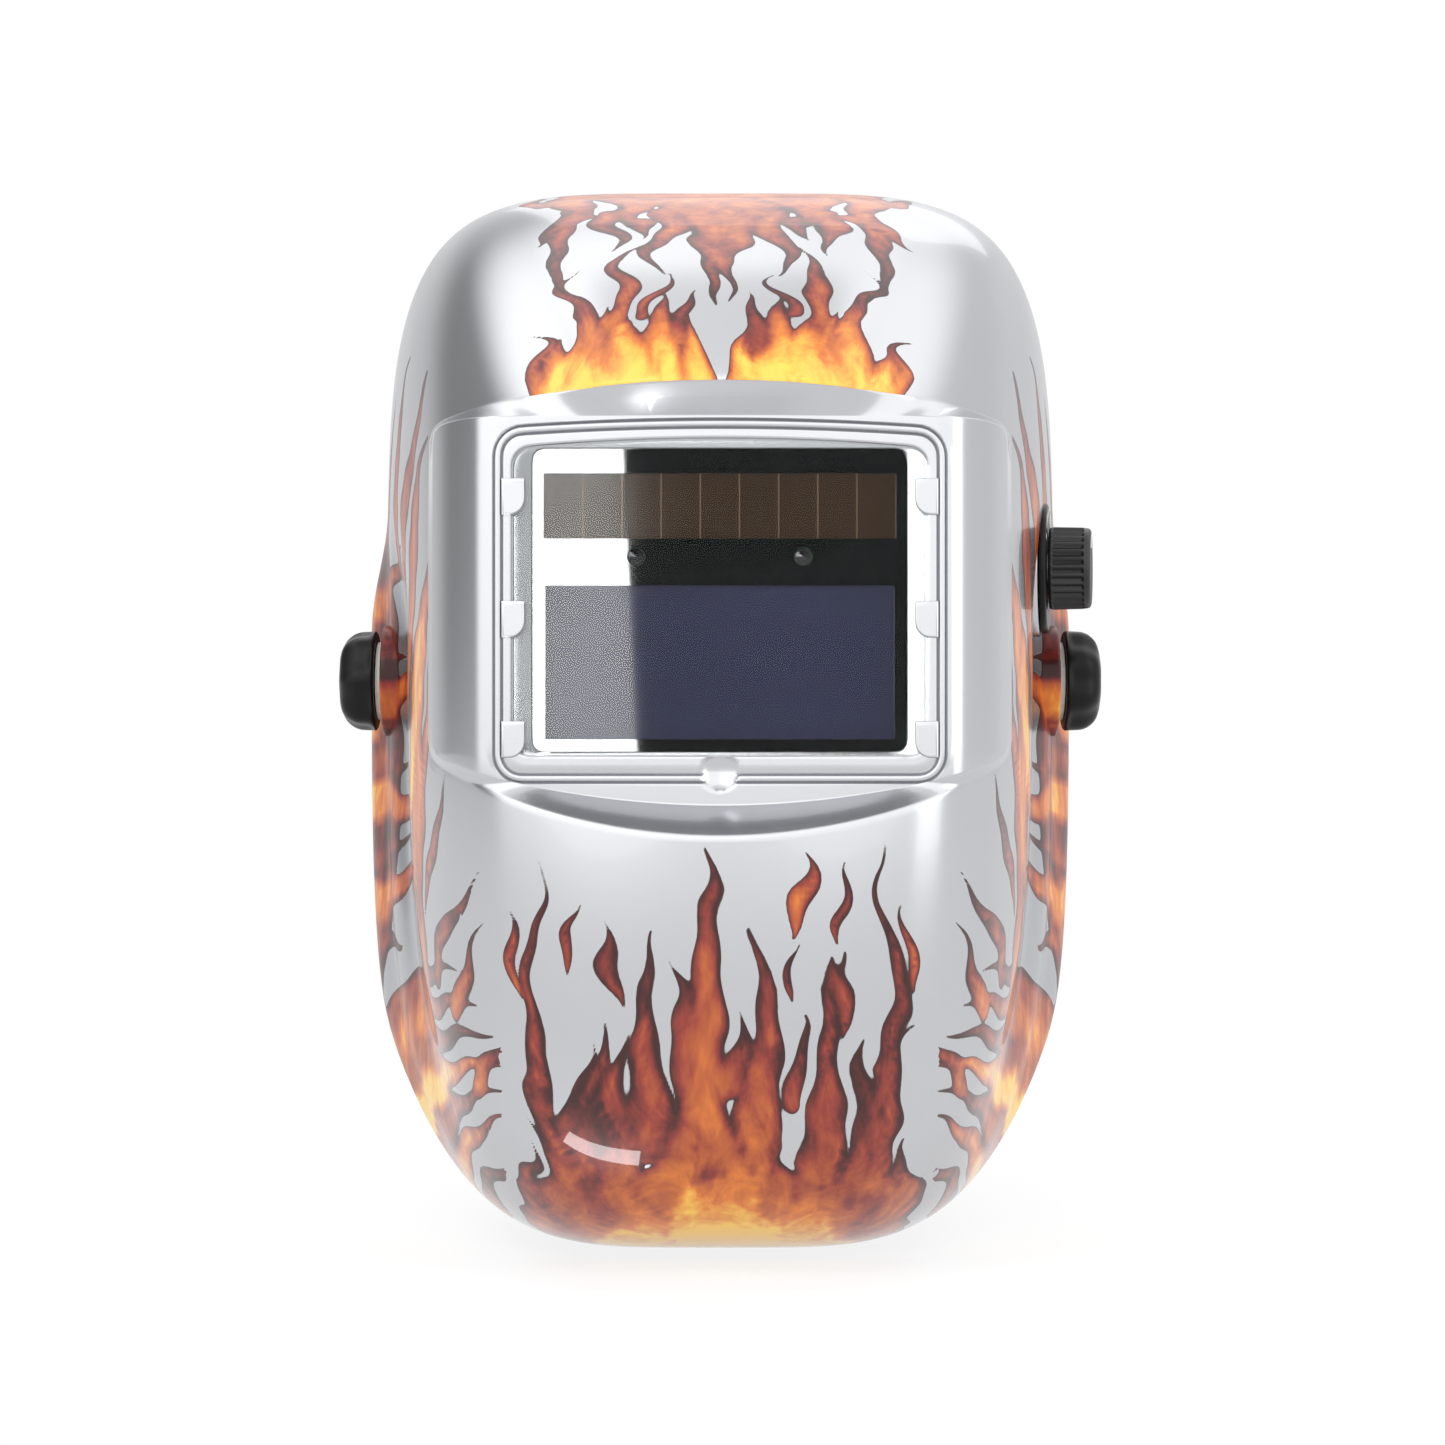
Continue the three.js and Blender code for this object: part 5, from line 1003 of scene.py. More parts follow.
RECIPES = {
    "printed_silver": lambda p: silver_coat(p, True),
    "plain_silver": lambda p: silver_coat(p, False),
    "black_plastic": lambda p: moulded(p, tone("black"), 0.3, 1400.0, 0.00002, 0.14),
    "grip_plastic": lambda p: moulded(p, tone("black"), 0.42, 2200.0, 0.00005, 0.5),
    "case_plastic": polished_case,
    "dark_plastic": lambda p: moulded(p, tone("grey"), 0.55, 1200.0, 0.00008),
    "strap_plastic": strap_plastic,
    "thread": lambda p: moulded(p, (0.06, 0.062, 0.07), 0.7, 3000.0, 0.00008),
    "sensor_glass": lambda p: dark_glass(p, (0.006, 0.006, 0.008)),
    "lead_rubber": lambda p: moulded(p, (0.013, 0.013, 0.014), 0.6, 800.0),
    "clear_sheet": clear_sheet,
    "filter_glass": lambda p: dark_glass(p, tone("filter_glass"), 0.4),
    "solar_cells": solar_cells,
    "bright_steel": bright_steel,
    "natural_nylon": natural_nylon,
    "board_green": board_green,
    "knitted": knitted,
    "scale_white": lambda p: moulded(p, (0.72, 0.72, 0.7), 0.5, 900.0, 0.00001),
}


def dress(piece, name, body, slot=None, *nodes):
    """Gives a piece its material and body and hides the nodes that it stands for; the slot argument is not
    used.
    """
    piece.data.materials.clear()
    piece.data.materials.append(paint(name))
    if body:
        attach(piece, body)
    if nodes:
        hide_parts(*nodes)
    return piece


def recolour(name, *nodes):
    """A better material on CAD nodes whose shape is right."""
    for node in nodes:
        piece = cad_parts[node]
        if not piece.material_slots:
            piece.data.materials.append(paint(name))
        for place in piece.material_slots:
            place.material = paint(name)


# Operators, one for each piece or group of like pieces


class HELMET_OT_shell(Operator):
    """Make the shell's skin, with its ledges, window and bay, and lay the flame print on it"""

    bl_idname = "helmet.shell"
    bl_label = "Shell"

    def columns(self, count):
        """Angles round the shell, closer together at the chin, the brow and the window's corners."""
        fine = np.radians(np.linspace(-90.0, 270.0, 14401))
        fold = np.degrees(np.arcsin(np.sin(fine)))
        density = 1.0 + 0.8 * smooth((-fold - 44.0) / 10.0) + 0.9 * smooth((fold - 50.0) / 10.0)
        for corner in (-25.0, 46.0):
            density = density + 0.8 * np.exp(-(((fold - corner) / 5.0) ** 2))
        share = np.concatenate([[0.0], np.cumsum((density[1:] + density[:-1]) / 2.0)])
        return np.interp(np.arange(count) / count, share / share[-1], fine)

    def body_rows(self, angle, edge_y, shares):
        """Rings of the skin at shares of the way from the rear rim to the ledges, measured along the skin."""
        start = rim_depth(angle)
        reach, roundness, _ = front_of(angle)
        turn = np.minimum(0.8, -0.9 * edge_y / reach)
        turn_y = -turn * reach
        end_share = (1.0 - np.clip(-edge_y / reach, 0, 1) ** roundness) ** (1.0 / roundness)
        turn_share = (1.0 - turn**roundness) ** (1.0 / roundness)
        first = np.linspace(0.0, 1.0, 240)[:, None]
        second = np.linspace(0.0, 1.0, 361)[1:, None]
        falling = mix(turn_share, end_share, second)
        y = np.concatenate([
            mix(start, turn_y, first),
            -reach * np.maximum(1.0 - falling**roundness, 0.0) ** (1.0 / roundness),
        ])
        y[-1] = edge_y
        path = skin_point(angle[None], y)
        length = np.concatenate([
            np.zeros((1, len(angle))),
            np.cumsum(np.linalg.norm(np.diff(path, axis=0), axis=-1), 0),
        ])
        columns = [
            np.stack([np.interp(shares, length[:, i] / length[-1, i], path[:, i, k]) for k in range(3)], -1)
            for i in range(len(angle))
        ]
        return np.stack(columns, 1)

    def moved_in(self, rows, wall):
        """The rings moved in by the wall, square to the skin."""
        down = np.gradient(rows, axis=0)
        across = np.roll(rows, -1, 1) - np.roll(rows, 1, 1)
        normal = np.cross(across, down)
        normal /= np.linalg.norm(normal, axis=-1, keepdims=True)
        outward = np.sign((normal * rows).sum(-1, keepdims=True))
        return rows - normal * outward * wall

    def front_rings(self, angle, sizes, body):
        """Eased rings from the ledges' edge through the panel, window and bay to the inner skin and rim."""
        cos, sin = np.cos(angle), np.sin(angle)

        def flat(radius, y):
            return np.stack([radius * cos, y + 0.0 * radius, radius * sin], -1)

        def window(shape, grow, y):
            return flat(reach_of(angle, window_field(shape, grow)), y)

        foot_radius = reach_of(angle, foot_field)
        foot = flat(foot_radius, panel_depth(foot_radius * cos))
        frame_radius = reach_of(angle, window_field(FRAME, 0.9))
        panel_rows = []
        for share in np.linspace(0.0, 1.0, 13)[1:-1]:
            radius = mix(foot_radius, frame_radius, share)
            panel_rows.append(flat(radius, panel_depth(radius * cos)))
        front = -PANEL["ahead"]
        border = window(FRAME, 0.9, front)
        chosen = np.unique(np.linspace(1, len(body) - 2, 22).astype(int))
        lining = np.concatenate([body[chosen], [foot, panel_rows[4], border]])
        inner = self.moved_in(lining, sizes.wall)
        rim = self.moved_in(body[:3], sizes.wall)[0]
        stack = [
            (body[-2], 0.0),
            (body[-1], sizes.ledge_ease),
            (mix(body[-1], foot, 0.5), 0.0),
            (foot, sizes.foot_ease),
            *[(row, 0.0) for row in panel_rows],
            (border, 0.25),
            (window(FRAME, 0.4, front + 1.1), 0.0),
            (window(FRAME, 0.0, front + 0.2), 0.25),
            (window(FRAME, -1.2, front + 0.2), 0.25),
            (window(FRAME, -1.6, front + 1.5), 0.0),
            (window(FRAME, -2.1, GROOVE_Y), 0.25),
            *[(window(OPENING, grow, GROOVE_Y), 0.0) for grow in (2.0, 1.3, 0.7)],
            (window(OPENING, 0.0, GROOVE_Y), 0.35),
            (window(OPENING, 0.0, SEAT_FRONT_Y), 0.0),
            (window(SEAT, 0.0, SEAT_FRONT_Y), 0.4),
            (window(SEAT, 0.0, SEAT_BACK_Y), 0.0),
            (window(BAY, 0.0, SEAT_BACK_Y), 0.0),
            (window(BAY, 0.0, BAY_BACK_Y), 0.3),
            (window(BAY, BAY_WALL, BAY_BACK_Y), 0.4),
            (window(BAY, BAY_WALL, front + sizes.wall), 0.8),
            *[(row, 0.0) for row in inner[::-1]],
            (rim, 0.7),
            (body[0], 0.7),
            (body[1], 0.0),
        ]
        rings = eased([row for row, _ in stack], [width for _, width in stack], 4)[1:-1]
        front_face = rings[:, :, 1] < SEAT_FRONT_Y - 0.5
        away = np.hypot(rings[:, :, 0], rings[:, :, 2] - NOTCH["z"])
        ball = front - NOTCH["ahead"] + np.sqrt(np.maximum(NOTCH["radius"] ** 2 - away**2, 0.0))
        sunk = np.maximum(rings[:, :, 1], ball)
        rings[:, :, 1] = np.where(front_face & (away < NOTCH["radius"]), sunk, rings[:, :, 1])
        return rings

    def execute(self, context):
        sizes = context.scene.helmet_skin
        factor = sizes.fineness
        angle = self.columns(sizes.columns)
        closed = np.append(angle, angle[0] + 2.0 * math.pi)
        fine_angle = np.interp(np.arange(len(angle) * factor) / factor, np.arange(len(closed)), closed)
        edge_y = skin_depth(fine_angle, reach_of(fine_angle, edge_field))
        last = sizes.rows - 1
        shares = np.concatenate([[0.0], np.linspace(1.0, last - 1.0, (last - 2) * factor + 1) / last, [1.0]])
        body = self.body_rows(fine_angle, edge_y, shares)
        fine = body[1:-1]
        coarse = np.concatenate([body[:1, ::factor], fine[::factor, ::factor], body[-1:, ::factor]])
        rings = self.front_rings(angle, sizes, coarse)
        fields = [field.reshape(fine.shape[:2]) for field in print_fields(fine.reshape(-1, 3))]
        near = np.abs(fields[0]) < sizes.fine_reach
        near = near[:-1].reshape(-1, factor, near.shape[1]).any(1)
        near = near.reshape(near.shape[0], -1, factor).any(2)
        near[[0, -1]] = False
        count = len(angle)
        ring_numbers = fine.shape[0] * fine.shape[1] + np.arange(rings.shape[0] * count).reshape(-1, count)
        coarse_numbers = np.arange(count) * factor
        order = np.vstack([
            (fine.shape[0] - 1) * fine.shape[1] + coarse_numbers,
            ring_numbers,
            coarse_numbers,
        ])
        after = np.roll(order, -1, 1)
        strips = np.stack([order[:-1], after[:-1], after[1:], order[1:]], -1).reshape(-1, 4)
        faces = patchwork(near, factor) + strips.tolist()
        printed = rings.reshape(-1, 3)
        outside = np.zeros(rings.shape[:2], bool)
        outside[:3] = True
        outside[-5:] = True
        ring_fields = print_fields(printed)
        ring_fields[0] = np.where(outside.reshape(-1), ring_fields[0], BARE)
        points = np.concatenate([fine.reshape(-1, 3), printed])
        used = np.unique(np.concatenate([np.array(face) for face in faces]))
        renumbered = np.zeros(len(points), int)
        renumbered[used] = np.arange(len(used))
        renumbered = renumbered.tolist()
        faces = [[renumbered[i] for i in face] for face in faces]
        skin = put_mesh("shell_skin", points[used], facing_out(points[used], faces))
        lay_print(skin.data, [np.concatenate([a.reshape(-1), b])[used] for a, b in zip(fields, ring_fields)])
        dress(skin, "printed_silver", "mask", "silver_shell", "shell")
        return {"FINISHED"}


# Rows of the turned pieces: distance along the axis, radius, share of the lobes' depth, width eased
PAD_ROWS = (
    (-9.3, 4.3, 0, 0.2),
    (-9.3, 17.0, 0, 0.8),
    *[(-back, 17.0, 0, 0) for back in (8.2, 7.3, 6.4, 5.5, 4.6, 3.8, 3.0, 2.0)],
    (0.0, 17.0, 0, 0.8),
    *[(0.0, radius, 0, 0) for radius in (15.5, 14.5, 13.5, 12.5)],
    (0.0, 4.3, 0, 0.2),
)
SIDE_KNOB_ROWS = (
    (7.5, 4.4, 0, 0),
    (0.0, 4.4, 0, 0.3),
    (0.0, 14.6, 0, 0.3),
    (0.6, 15.4, 0, 0.4),
    (2.0, 15.5, 0.9, 1.0),
    (6.5, 15.3, 1, 2.5),
    (9.9, 12.6, 0.8, 2.4),
    (11.1, 8.6, 0.2, 1.2),
    (10.6, 6.5, 0, 1.0),
    (10.2, 0.02, 0, 0),
)
SHADE_PAD_ROWS = ((-3.5, 4.9, 0, 0.2), (-3.5, 20.4, 0, 0.3), (0.8, 20.4, 0, 0.5), (0.8, 4.9, 0, 0.2))
SHADE_PLATE_ROWS = (
    (1.1, 4.8, 0, 0),
    (1.1, 19.4, 0, 0.3),
    (2.6, 19.4, 0, 0.4),
    (3.1, 18.6, 0, 0.3),
    (3.1, 13.4, 0, 0.2),
    (2.9, 13.0, 0, 0.2),
    (2.9, 4.8, 0, 0),
)
SHADE_KNOB_ROWS = (
    (4.5, 8.5, 0, 0),
    (0.0, 8.5, 0, 0.3),
    (0.0, 11.9, 0, 0.3),
    (0.9, 12.25, 0, 0.1),
    (1.4, 12.3, 1, 0.1),
    (9.9, 12.1, 1, 0.2),
    (10.5, 12.0, 0, 0.1),
    (12.0, 11.8, 0, 0.6),
    (12.5, 10.6, 0, 0.4),
    (12.15, 9.0, 0, 0.5),
    (12.15, 0.02, 0, 0),
)
RATCHET_KNOB_ROWS = (
    (110.0, 5.2, 0, 0),
    (110.0, 16.9, 0, 0.3),
    (105.4, 16.9, 0, 0.2),
    (105.4, 22.3, 0.6, 0.4),
    (106.4, 23.0, 1, 0.5),
    (115.8, 22.8, 1, 1.2),
    (118.1, 20.6, 0.5, 1.6),
    (118.2, 17.4, 0, 0.6),
    (117.2, 16.2, 0, 0.8),
    (116.9, 9.4, 0, 0.8),
    (118.2, 7.6, 0, 0.8),
    (118.2, 3.4, 0, 0.3),
    (116.4, 3.2, 0, 0),
    (116.4, 1.5, 0, 0),
    (106.8, 1.5, 0, 0),
    (106.8, 5.2, 0, 0),
)
# How far a pad stands out of the skin, the gap on each side of the washer over it, and its thickness
PAD_PROUD = 1.2
KNOB_GAP = 0.3
OUTER_WASHER = 1.5
PEG = {"behind": 22.0, "tip_x": 89.7, "radius": 3.0, "foot": 5.5, "taper": 5.0, "sunk": 2.0}


class HELMET_OT_mouldings(Operator):
    """Make the lens tabs, the pads under the knobs and the stop pegs"""

    bl_idname = "helmet.mouldings"
    bl_label = "Tabs, pads and pegs"

    def lens_tab(self, number, height, hand, word):
        """A tab over the lens's edge, with its lower inner corner as a quarter circle."""
        corner = np.linspace(math.pi, 1.5 * math.pi, 9)
        low, high = height - TAB["height"] / 2, height + TAB["height"] / 2
        bend = np.stack([
            TAB["inner"] + TAB["corner"] * (1 + np.cos(corner)),
            low + TAB["corner"] * (1 + np.sin(corner)),
        ], -1)
        outline = np.concatenate([[[TAB["outer"], low], [TAB["outer"], high], [TAB["inner"], high]], bend])
        middle = outline.mean(0)
        rows = []
        for inset, y in ((1.1, TAB_Y), (0.6, TAB_Y), (0.0, TAB_Y + 0.35), (0.0, LENS_FRONT_Y - 0.3)):
            ring = middle + (outline - middle) * (1.0 - inset / 5.0)
            rows.append(np.stack([hand * ring[:, 0], np.full(len(ring), y), ring[:, 1]], -1))
        piece = loft(f"lens_tab_{word}_{number + 1}", eased(rows, [0, 0.15, 0.15, 0], 2))
        dress(piece, "plain_silver", "mask", "silver_shell")

    def pivot_pad(self, hand, word):
        """The raised pad under a side knob. It carries the print, but not where it lies inside the shell."""
        pad_x = skin_x(0.0, 0.0) + PAD_PROUD
        piece = turned(f"pivot_pad_{word}", PAD_ROWS, (0, 0, 0), (hand, 0, 0), 120, around=True, start=pad_x)
        points = np.empty(len(piece.data.vertices) * 3)
        piece.data.vertices.foreach_get("co", points)
        points = points.reshape(-1, 3) / MM
        x, y, z = points.T
        buried = np.hypot(x, z) < skin_radius(np.arctan2(z, np.abs(x)), y) - 1.5
        fields = print_fields(points)
        fields[0] = np.where(buried, BARE, fields[0])
        lay_print(piece.data, fields)
        dress(piece, "printed_silver", "mask", "silver_shell")

    def stop_peg(self, hand, word):
        """The peg inside the shell that the tilt stops catch."""
        root = skin_x(PEG["behind"], 0.0) - PEG["sunk"]
        rows = (
            (PEG["tip_x"], PEG["radius"], 0, 0),
            (root - PEG["taper"], PEG["radius"], 0, 1.5),
            (root, PEG["foot"], 0, 0),
        )
        piece = turned(f"stop_peg_{word}", rows, (0, PEG["behind"], 0), (hand, 0, 0), 32)
        dress(piece, "plain_silver", "mask", "silver_shell")

    def execute(self, context):
        for number, height in enumerate(TAB["heights"]):
            for hand, word in HANDS:
                self.lens_tab(number, height, hand, word)
        for hand, word in HANDS:
            self.pivot_pad(hand, word)
            self.stop_peg(hand, word)
        return {"FINISHED"}


CONTROL_POINT = (94.6136, -35.0, 33.0)
CONTROL_AXIS = (0.9900833, -0.1404812, 0.0)
SHADE_KNOB_FOOT = 3.4
SHADE_KNOB_TOP = SHADE_KNOB_FOOT + 12.5
SCALE = {"first": -58.0, "step": 29.0, "size": 3.6, "raised": 0.03, "level": 3.13, "radius": 16.2}


class HELMET_OT_shade_control(Operator):
    """Make the shade control: its pad, its plate with a scale, and its fluted knob"""

    bl_idname = "helmet.shade_control"
    bl_label = "Shade control"

    def execute(self, context):
        at = (CONTROL_POINT, CONTROL_AXIS)
        pad = turned("shade_pad", SHADE_PAD_ROWS, *at, 96, around=True)
        dress(pad, "plain_silver", "mask", "silver_shell")
        plate = turned("shade_scale_plate", SHADE_PLATE_ROWS, *at, 96, around=True)
        dress(plate, "black_plastic", "mask", "black_plastic", "shade_plate")
        self.scale_marks()
        fluted = {"lobes": 30, "depth": 0.9, "start": SHADE_KNOB_FOOT}
        knob = turned("shade_knob_grip", SHADE_KNOB_ROWS, *at, 240, **fluted)
        dress(knob, "grip_plastic", "shade_control", "black_plastic", "shade_knob")
        pointer = np.array([[-0.45, 6.0], [0.45, 6.0], [0.45, 11.2], [-0.45, 11.2]])
        levels = (SHADE_KNOB_TOP - 0.6, SHADE_KNOB_TOP + 0.02)
        mark = loft("shade_knob_mark", [placed(pointer, level, *at) for level in levels])
        dress(mark, "scale_white", "shade_control", "black_plastic")
        return {"FINISHED"}

    def scale_marks(self):
        """The shade numbers round the plate."""
        axis = Vector(CONTROL_AXIS).normalized()
        side = Vector(UP).cross(axis).normalized()
        top = axis.cross(side)
        texts = []
        for number, word in enumerate(("9", "10", "11", "12", "13")):
            turn = math.radians(SCALE["first"] + SCALE["step"] * number)
            curve = bpy.data.curves.new(f"number_{word}", "FONT")
            curve.body = word
            curve.size = SCALE["size"] * MM
            curve.align_x = "CENTER"
            curve.align_y = "CENTER"
            curve.extrude = SCALE["raised"] * MM
            text = bpy.data.objects.new(f"number_{word}", curve)
            bpy.context.scene.collection.objects.link(text)
            outward = side * math.sin(turn) + top * math.cos(turn)
            across = outward.cross(axis).normalized()
            spot = (Vector(CONTROL_POINT) + axis * SCALE["level"] + outward * SCALE["radius"]) * MM
            turn_matrix = Matrix((across, outward, across.cross(outward))).transposed().to_4x4()
            text.matrix_world = Matrix.Translation(spot) @ turn_matrix
            texts.append(text)
        bpy.context.view_layer.update()
        depsgraph = bpy.context.evaluated_depsgraph_get()
        points, faces = [], []
        for text in texts:
            mesh = bpy.data.meshes.new_from_object(text.evaluated_get(depsgraph))
            mesh.transform(text.matrix_world)
            start = len(points)
            points += [tuple(v.co / MM) for v in mesh.vertices]
            faces += [[start + i for i in face.vertices] for face in mesh.polygons]
            bpy.data.objects.remove(text)
        piece = put_mesh("shade_scale_numbers", np.array(points), faces)
        dress(piece, "scale_white", "mask", "black_plastic")


class HELMET_OT_side_knobs(Operator):
    """Make the two side tension knobs"""

    bl_idname = "helmet.side_knobs"
    bl_label = "Side knobs"

    def execute(self, context):
        foot = skin_x(0.0, 0.0) + PAD_PROUD + KNOB_GAP + OUTER_WASHER + KNOB_GAP
        for hand, word in HANDS:
            at = ((0, 0, 0), (hand, 0, 0))
            lobed = {"lobes": 7, "depth": 1.3, "start": foot}
            knob = turned(f"tension_knob_{word}", SIDE_KNOB_ROWS, *at, 168, 5, **lobed)
            dress(knob, "black_plastic", f"{word}_knob", "black_plastic", f"side_knob_{word}")
        return {"FINISHED"}


class HELMET_OT_cartridge(Operator):
    """Make the cover lens and give the cartridge and its retainer their finishes"""

    bl_idname = "helmet.cartridge"
    bl_label = "Lens and cartridge"

    def execute(self, context):
        angle = np.arange(360) / 360.0 * 2 * math.pi
        rows = []
        for grow, y in ((-0.6, LENS_FRONT_Y), (-0.3, LENS_FRONT_Y), (-0.3, LENS_BACK_Y), (-0.6, LENS_BACK_Y)):
            radius = reach_of(angle, window_field(OPENING, grow))
            rows.append(np.stack([radius * np.cos(angle), np.full(360, y), radius * np.sin(angle)], -1))
        lens = loft("cover_sheet", eased(rows, [0, 0.25, 0.25, 0], 3))
        dress(lens, "clear_sheet", "mask", "clear_plastic", "cover_lens")
        recolour("clear_sheet", "inner_cover_lens")
        recolour("case_plastic", "filter_case_front", "filter_case_back")
        recolour("filter_glass", "shutter_glass")
        recolour("sensor_glass", "arc_sensor_right", "arc_sensor_left")
        recolour("solar_cells", "solar_panel")
        recolour("board_green", "circuit_board")
        recolour("bright_steel", "battery_right", "battery_left")
        recolour("bright_steel", "retaining_clip_right", "retaining_clip_left")
        recolour("bright_steel", "potentiometer", "potentiometer_nut", "potentiometer_shaft")
        recolour("dark_plastic", "retaining_frame", "sensitivity_knob", "delay_switch")
        recolour("lead_rubber", "control_lead")
        return {"FINISHED"}


class HELMET_OT_pivots(Operator):
    """Give the pivots, washers, stops and brackets their finishes"""

    bl_idname = "helmet.pivots"
    bl_label = "Pivots"

    def execute(self, context):
        for _, hand in HANDS:
            recolour("natural_nylon", f"friction_washer_{hand}", f"outer_washer_{hand}")
            recolour("dark_plastic", f"tilt_stop_{hand}", f"side_bracket_{hand}")
            recolour("black_plastic", f"pivot_bolt_{hand}", f"front_rivet_{hand}", f"rear_rivet_{hand}")
        recolour("black_plastic", "front_strap_stud", "rear_strap_stud")
        return {"FINISHED"}


BAND = {"half": 80.2, "long": 96.5, "middle": 3.5, "level": 20.0, "slope": 0.28, "end": 128.0}
BAND_SECTION = {"half_height": 14.0, "half_thick": 0.8, "ribs": 12.2}
STRAP = {"y": 35.0, "half_width": 10.0, "half_thick": 0.8, "gap": 0.15, "top": 112.0, "clear": 2.8}
STRAP_ENDS = {"past_middle": 13.0, "tuck": 10.0, "lap": 1.75}
SWEATBAND = {"reach": 68.0, "thick": 6.8, "height": 33.6, "stitch": 13.4, "length": 190.0, "girth": 76.0}
NAPE = {"half_width": 37.6, "half_height": 17.8, "back": 89.7, "crown": 7.0, "channel": 13.0}
RACK_Y = 98.1
RATCHET_Z = -8.0
RATCHET_ORIGIN = (0.0, 0.0, RATCHET_Z)
BACKWARD = (0.0, 1.0, 0.0)


def band_point(degrees):
    """A point of the headband's middle line, an ellipse that drops to the back, and the way out from it."""
    angle = np.radians(degrees)
    y = BAND["middle"] - BAND["long"] * np.cos(angle)
    point = np.stack([BAND["half"] * np.sin(angle), y, BAND["level"] - BAND["slope"] * y], -1)
    out = np.stack([np.sin(angle) / BAND["half"], -np.cos(angle) / BAND["long"], 0.0 * angle], -1)
    return point, out / np.linalg.norm(out, axis=-1, keepdims=True)


def ribbon(name, centre, out, up, half_up, half_out, corner):
    """A strip along a path, with a rounded rectangle for its section on the out and up directions."""
    out = out / np.linalg.norm(out, axis=-1, keepdims=True)
    flat = box_ring(2.0, 2.0, 1.0, 6)
    sign = np.sign(flat)
    bend = flat - sign
    half_up = np.broadcast_to(np.asarray(half_up, float), len(centre))[:, None]
    half_out = np.broadcast_to(np.asarray(half_out, float), len(centre))[:, None]
    across = sign[:, 0] * (half_out - corner) + corner * bend[:, 0]
    along = sign[:, 1] * (half_up - corner) + corner * bend[:, 1]
    rows = centre[:, None] + across[..., None] * out[:, None] + along[..., None] * np.asarray(up)
    return loft(name, rows)


def weave_map(piece, along, around):
    """A map in metres for the cloth: the lengths along and around the piece, by grid position."""
    layer = piece.data.uv_layers.new(name="weave")
    vertex = np.empty(len(piece.data.loops), int)
    piece.data.loops.foreach_get("vertex_index", vertex)
    flat = np.zeros((len(piece.data.vertices), 2))
    flat[: along.size, 0] = along.reshape(-1) * MM
    flat[: around.size, 1] = around.reshape(-1) * MM
    flat[along.size :] = flat[: along.size].mean(0)
    layer.data.foreach_set("uv", flat[vertex].reshape(-1))


def stitches(name, points, out, length=2.4, thick=0.55):
    """Short raised threads along a seam, each a small spindle with a sine for its thickness."""
    step = np.linalg.norm(np.diff(points, axis=0), axis=1)
    path = np.concatenate([[0.0], np.cumsum(step)])
    count = int(path[-1] / (length * 1.45))
    turn = np.arange(6) / 6.0 * 2.0 * math.pi
    share = np.linspace(0.0, 1.0, 5)
    verts, faces = [], []
    for k in range(count):
        start = (k + 0.2) * path[-1] / count
        places = start + share * length
        middle = np.stack([np.interp(places, path, points[:, i]) for i in range(3)], -1)
        normal = np.stack([np.interp(places, path, out[:, i]) for i in range(3)], -1)
        ahead = np.gradient(middle, axis=0)
        side = np.cross(ahead, normal)
        side /= np.linalg.norm(side, axis=1, keepdims=True)
        swell = thick / 2.0 * np.sin(math.pi * np.clip(share, 0.06, 0.94))
        ring = middle[:, None] + swell[:, None, None] * (
            np.cos(turn)[None, :, None] * side[:, None] + np.sin(turn)[None, :, None] * normal[:, None]
        )
        base = k * 30
        verts.append(ring.reshape(-1, 3))
        for r in range(4):
            for c in range(6):
                d = (c + 1) % 6
                faces.append([base + r * 6 + c, base + r * 6 + d, base + r * 6 + 6 + d, base + r * 6 + 6 + c])
        faces.append([base + c for c in range(5, -1, -1)])
        faces.append([base + 24 + c for c in range(6)])
    points = np.concatenate(verts)
    return put_mesh(name, points, facing_out(points, faces), 80.0)


